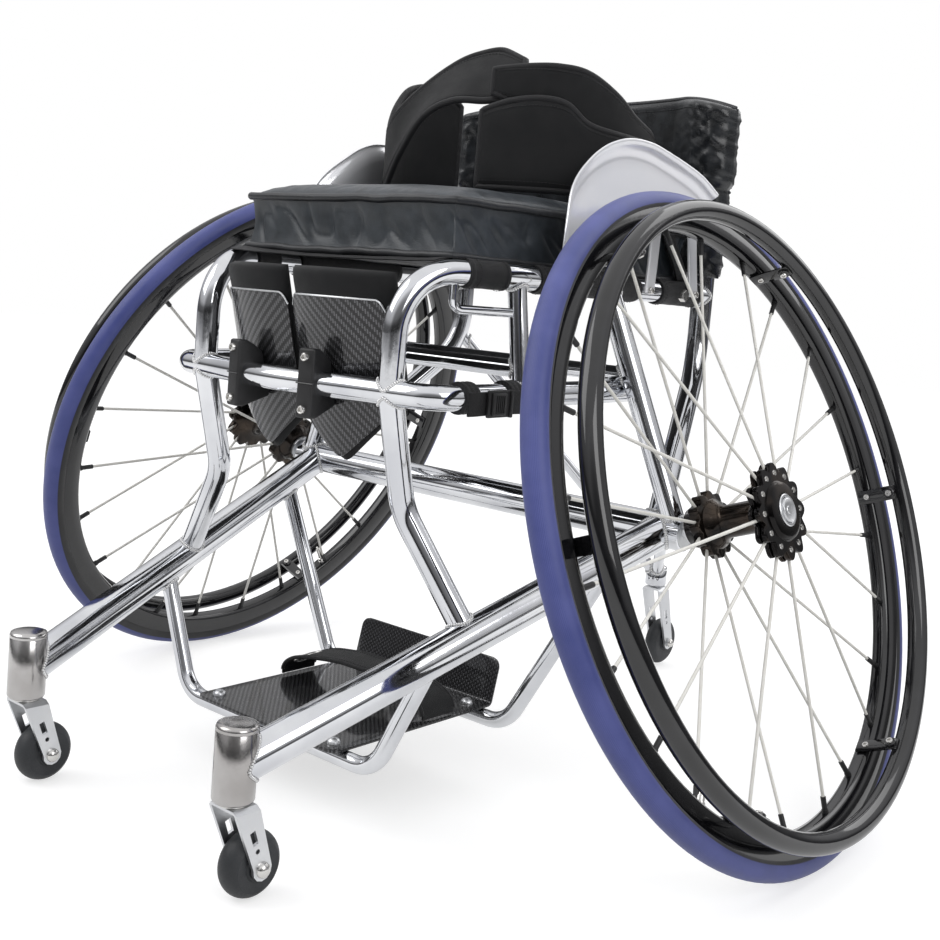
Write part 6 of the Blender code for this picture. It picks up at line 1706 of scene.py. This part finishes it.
back_mesh = pad_mesh("back", 120, 64, back_place, (0.38, 0.19))
back_cover = add_piece("back_upholstery_cover", back_mesh, BACK_VINYL, "frame", "back_upholstery", sharp=60)
widths = spaced(-0.985, 0.985, 120)
top_line = [back_place(u, 0.985, 0) + Vector((0, -0.002, 0.0008)) for u in widths]
fold_line = [back_place(u, 0.03, 1) + Vector((0, 0.0006, 0)) for u in widths]
pipes = tube_mesh("p", top_line, 0.0028, 10), tube_mesh("q", fold_line, 0.0016, 8)
add_piece("back_piping", joined("pipes", *pipes), PIPING)
seam_lines = []
for v, w in ((0.88, -1), (0.08, 1), (-0.92, -1)):
    seam_lines.append([back_place(u, v, w) + Vector((0, w * 0.0006, 0)) for u in spaced(-0.97, 0.97, 160)])
beaded("back_stitches", seam_lines, 0.0042, (0.0005, 0.0005, 0.0015), THREAD)
print("back faces", len(back_mesh.polygons))

# %% [markdown]
# ## Waist belt
# The belt is wide padded neoprene. Its two pads stand on the cushion beside the hips, and their wings
# close over the waist. Each band is a smooth curve through a few stops round the waist, given as angle,
# spread, lower edge, upper edge and how far the upper edge leans in.

# %% Belt bands
BELT_BANDS = {
    "left_pad": (
        (-34, 0.002, 0.000, 0.054, 1.0), (-10, 0.002, 0.000, 0.058, 1.0), (12, 0.003, 0.000, 0.060, 1.0),
        (30, 0.005, 0.000, 0.066, 1.0), (40, 0.006, 0.000, 0.083, 1.0), (50, 0.006, 0.000, 0.087, 1.0),
        (62, 0.006, 0.000, 0.083, 1.0), (72, 0.006, 0.000, 0.074, 1.0),
    ),
    "left_flap": (
        (-38, -0.002, 0.030, 0.066, 1.0), (-18, -0.003, 0.034, 0.071, 1.0), (0, -0.005, 0.040, 0.080, 1.0),
        (14, -0.006, 0.046, 0.098, 1.0), (30, -0.006, 0.052, 0.115, 1.0), (42, -0.006, 0.060, 0.119, 1.0),
        (54, -0.006, 0.078, 0.118, 1.0), (70, -0.006, 0.091, 0.114, 1.0),
    ),
    "right_wing": (
        (58, -0.010, 0.088, 0.130, 0.72), (74, -0.008, 0.084, 0.142, 0.60), (88, -0.004, 0.084, 0.140, 0.60),
        (102, 0.000, 0.070, 0.131, 0.66), (118, 0.000, 0.036, 0.110, 0.80), (132, 0.000, 0.010, 0.084, 0.95),
        (144, 0.000, 0.004, 0.070, 1.0), (158, 0.000, 0.003, 0.096, 1.0), (172, 0.000, 0.003, 0.119, 1.0),
        (186, 0.000, 0.003, 0.128, 1.0), (198, 0.000, 0.003, 0.126, 1.0), (208, 0.000, 0.006, 0.112, 1.0),
    ),
}
BELT_Z, BELT_MIDDLE_Y, BELT_HALF_WIDTH, BELT_HALF_DEPTH = 0.5705, 0.030, 0.148, 0.118


def belt_point(stop, share, side):
    """A point on the band: share runs from its lower to its upper edge, side from inside to outside."""
    turn, spread, low, high, lean = stop
    angle = radians(turn)
    draw = 1 + (lean - 1) * share
    grow = spread + side
    x = (BELT_HALF_WIDTH * draw + grow) * cos(angle)
    y = BELT_MIDDLE_Y - (BELT_HALF_DEPTH * draw + grow) * sin(angle)
    return Vector((x, y, BELT_Z + low + (high - low) * share))


bands, bindings, seam_lines = [], [], []
for label, stops in BELT_BANDS.items():
    rows = smooth_rows(stops, 10)
    rings = []
    for k, stop in enumerate(rows):
        near_end = min(1, min(k, len(rows) - 1 - k) / 4)
        outside, inside = [], []
        for share in spaced(0, 1, 15):
            full = sqrt(max(0, 1 - abs(2 * share - 1) ** 8))
            plump = 0.0040 * full * (0.35 + 0.65 * sqrt(near_end)) + 0.0004
            wave = 0.0010 * crumple(belt_point(stop, share, 0), 0.035)
            outside.append(belt_point(stop, share, plump + wave))
            inside.append(belt_point(stop, share, -plump * 0.95 + wave))
        rings.append(outside + inside[::-1])
    bands.append(loft(label, rings, scale=(0.20, 0.34)))
    outline = [belt_point(stop, 0.015, 0) for stop in rows]
    outline += [belt_point(rows[-1], share, 0) for share in spaced(0.1, 0.9, 6)]
    outline += [belt_point(stop, 0.985, 0) for stop in reversed(rows)]
    outline += [belt_point(rows[0], share, 0) for share in spaced(0.9, 0.1, 6)]
    bindings.append(tube_mesh("binding", outline, 0.0036, 10, loop=True))
    for share in (0.09, 0.91):
        for out in (0.0042, -0.0042):
            seam_lines.append([belt_point(stop, share, out) for stop in rows[2:-2]])
belt = add_piece("waist_belt_pads", joined("belt", *bands), NEOPRENE, "frame", "waist_belt", sharp=60)
add_piece("waist_belt_binding", joined("belt_binding", *bindings), WEBBING)
beaded("waist_belt_stitches", seam_lines, 0.0034, (0.0004, 0.0004, 0.0012), THREAD)
print("belt bands", len(bands))

# %% Belt straps down to the rails, with their bolts
BELT_STRAP_FOOT, BELT_STRAP_TOP = Vector((0.1610, 0.116, RAIL_Z + 0.0130)), Vector((0.1500, 0.060, 0.600))
BELT_BOLT_Y, BELT_STRAP_WALL = 0.098, 0.0022
straps = []
for label, side in SIDES:
    rows = []
    for i in range(21):
        middle = BELT_STRAP_FOOT.lerp(BELT_STRAP_TOP, i / 20)
        across = [middle + Vector((0.0010 * sin(i * 0.6), shift, 0)) for shift in spaced(-0.011, 0.011, 6)]
        rows.append(mirrored(across, side))
    band = loft("belt_strap", rows, closed=False, scale=(0.022, 0.116))
    straps.append(worked(band, wall(BELT_STRAP_WALL), soft_edge(0.0006)))
    bolt = Vector((side * (rail_x(BELT_BOLT_Y) + MEDIUM), BELT_BOLT_Y, RAIL_Z - 0.002))
    fasteners(label + "_belt_bolt", HEX_HEAD, [(bolt, (side, 0, 0))], 0.0062, STEEL, "frame")
add_piece("belt_straps", joined("belt_straps", *straps), WEBBING)

# %% [markdown]
# ## Knee strap
# Webbing lies along the left side run of the knee bar, looped round it at both ends, with a cam buckle
# in the middle. The buckle is two moulded halves and a ribbed lever.

# %% Knee strap and buckle
UP, WEB_DROP, LOOP_LENGTH = Vector(Z_AXIS), 0.004, 0.016
front, rear = knee_bar_side(-0.236), knee_bar_side(-0.163)
run = (rear - front).normalized()
out = run.cross(UP).normalized()
out = out if out.x > 0 else -out
rows = []
for i in range(31):
    base = front.lerp(rear, i / 30) + out * (MEDIUM + 0.0019 + 0.0006 * sin(i * 0.5)) - UP * WEB_DROP
    rows.append([base + UP * rise for rise in spaced(-0.010, 0.010, 8)])
web = loft("web", rows, closed=False, scale=(0.020, 0.073))
webs = [worked(web, wall(0.0022), soft_edge(0.0006))]
for start in (front, rear - run * LOOP_LENGTH):
    line = [start + run * LOOP_LENGTH * i / 10 for i in range(11)]
    sizes = [MEDIUM + 0.0026 + 0.0003 * sin(i * 1.7) for i in range(11)]
    webs.append(tube_mesh("loop", line, sizes, 28))
add_piece("knee_strap_web", joined("knee_strap", *webs), WEBBING, "frame", "knee_strap")
middle = (front + rear) / 2 + out * (MEDIUM + 0.0024) - UP * WEB_DROP
turn = Matrix((out, run, UP)).transposed().to_4x4()


def block(name, size, centre, bevel):
    shape = bmesh.new()
    bmesh.ops.create_cube(shape, size=1)
    bmesh.ops.scale(shape, vec=size, verts=shape.verts)
    bmesh.ops.translate(shape, vec=centre, verts=shape.verts)
    mesh = bpy.data.meshes.new(name)
    mesh.uv_layers.new(name="UVMap")
    shape.to_mesh(mesh)
    shape.free()
    return worked(mesh, ("BEVEL", {"width": bevel, "segments": 3}))


parts = [
    block("base", (0.0040, 0.030, 0.023), (0.0022, 0, 0), 0.0012),
    block("lever", (0.0034, 0.017, 0.019), (0.0056, -0.004, 0), 0.0014),
    block("bar", (0.0060, 0.0030, 0.0236), (0.0036, 0.0125, 0), 0.0012),
]
parts += [block("rib", (0.0012, 0.0009, 0.015), (0.0076, -0.009 + 0.0024 * i, 0), 0.0003) for i in range(5)]
buckle = joined("buckle", *parts)
buckle.transform(Matrix.Translation(middle) @ turn)
add_piece("knee_strap_buckle", buckle, MATT_BLACK, "frame", sharp=35)
print("knee strap ready")

# %% [markdown]
# ## Closing the scene
# The patterns that the trees copied are taken out.

# %% The end
for extra in PATTERNS:
    bpy.data.objects.remove(extra, do_unlink=True)
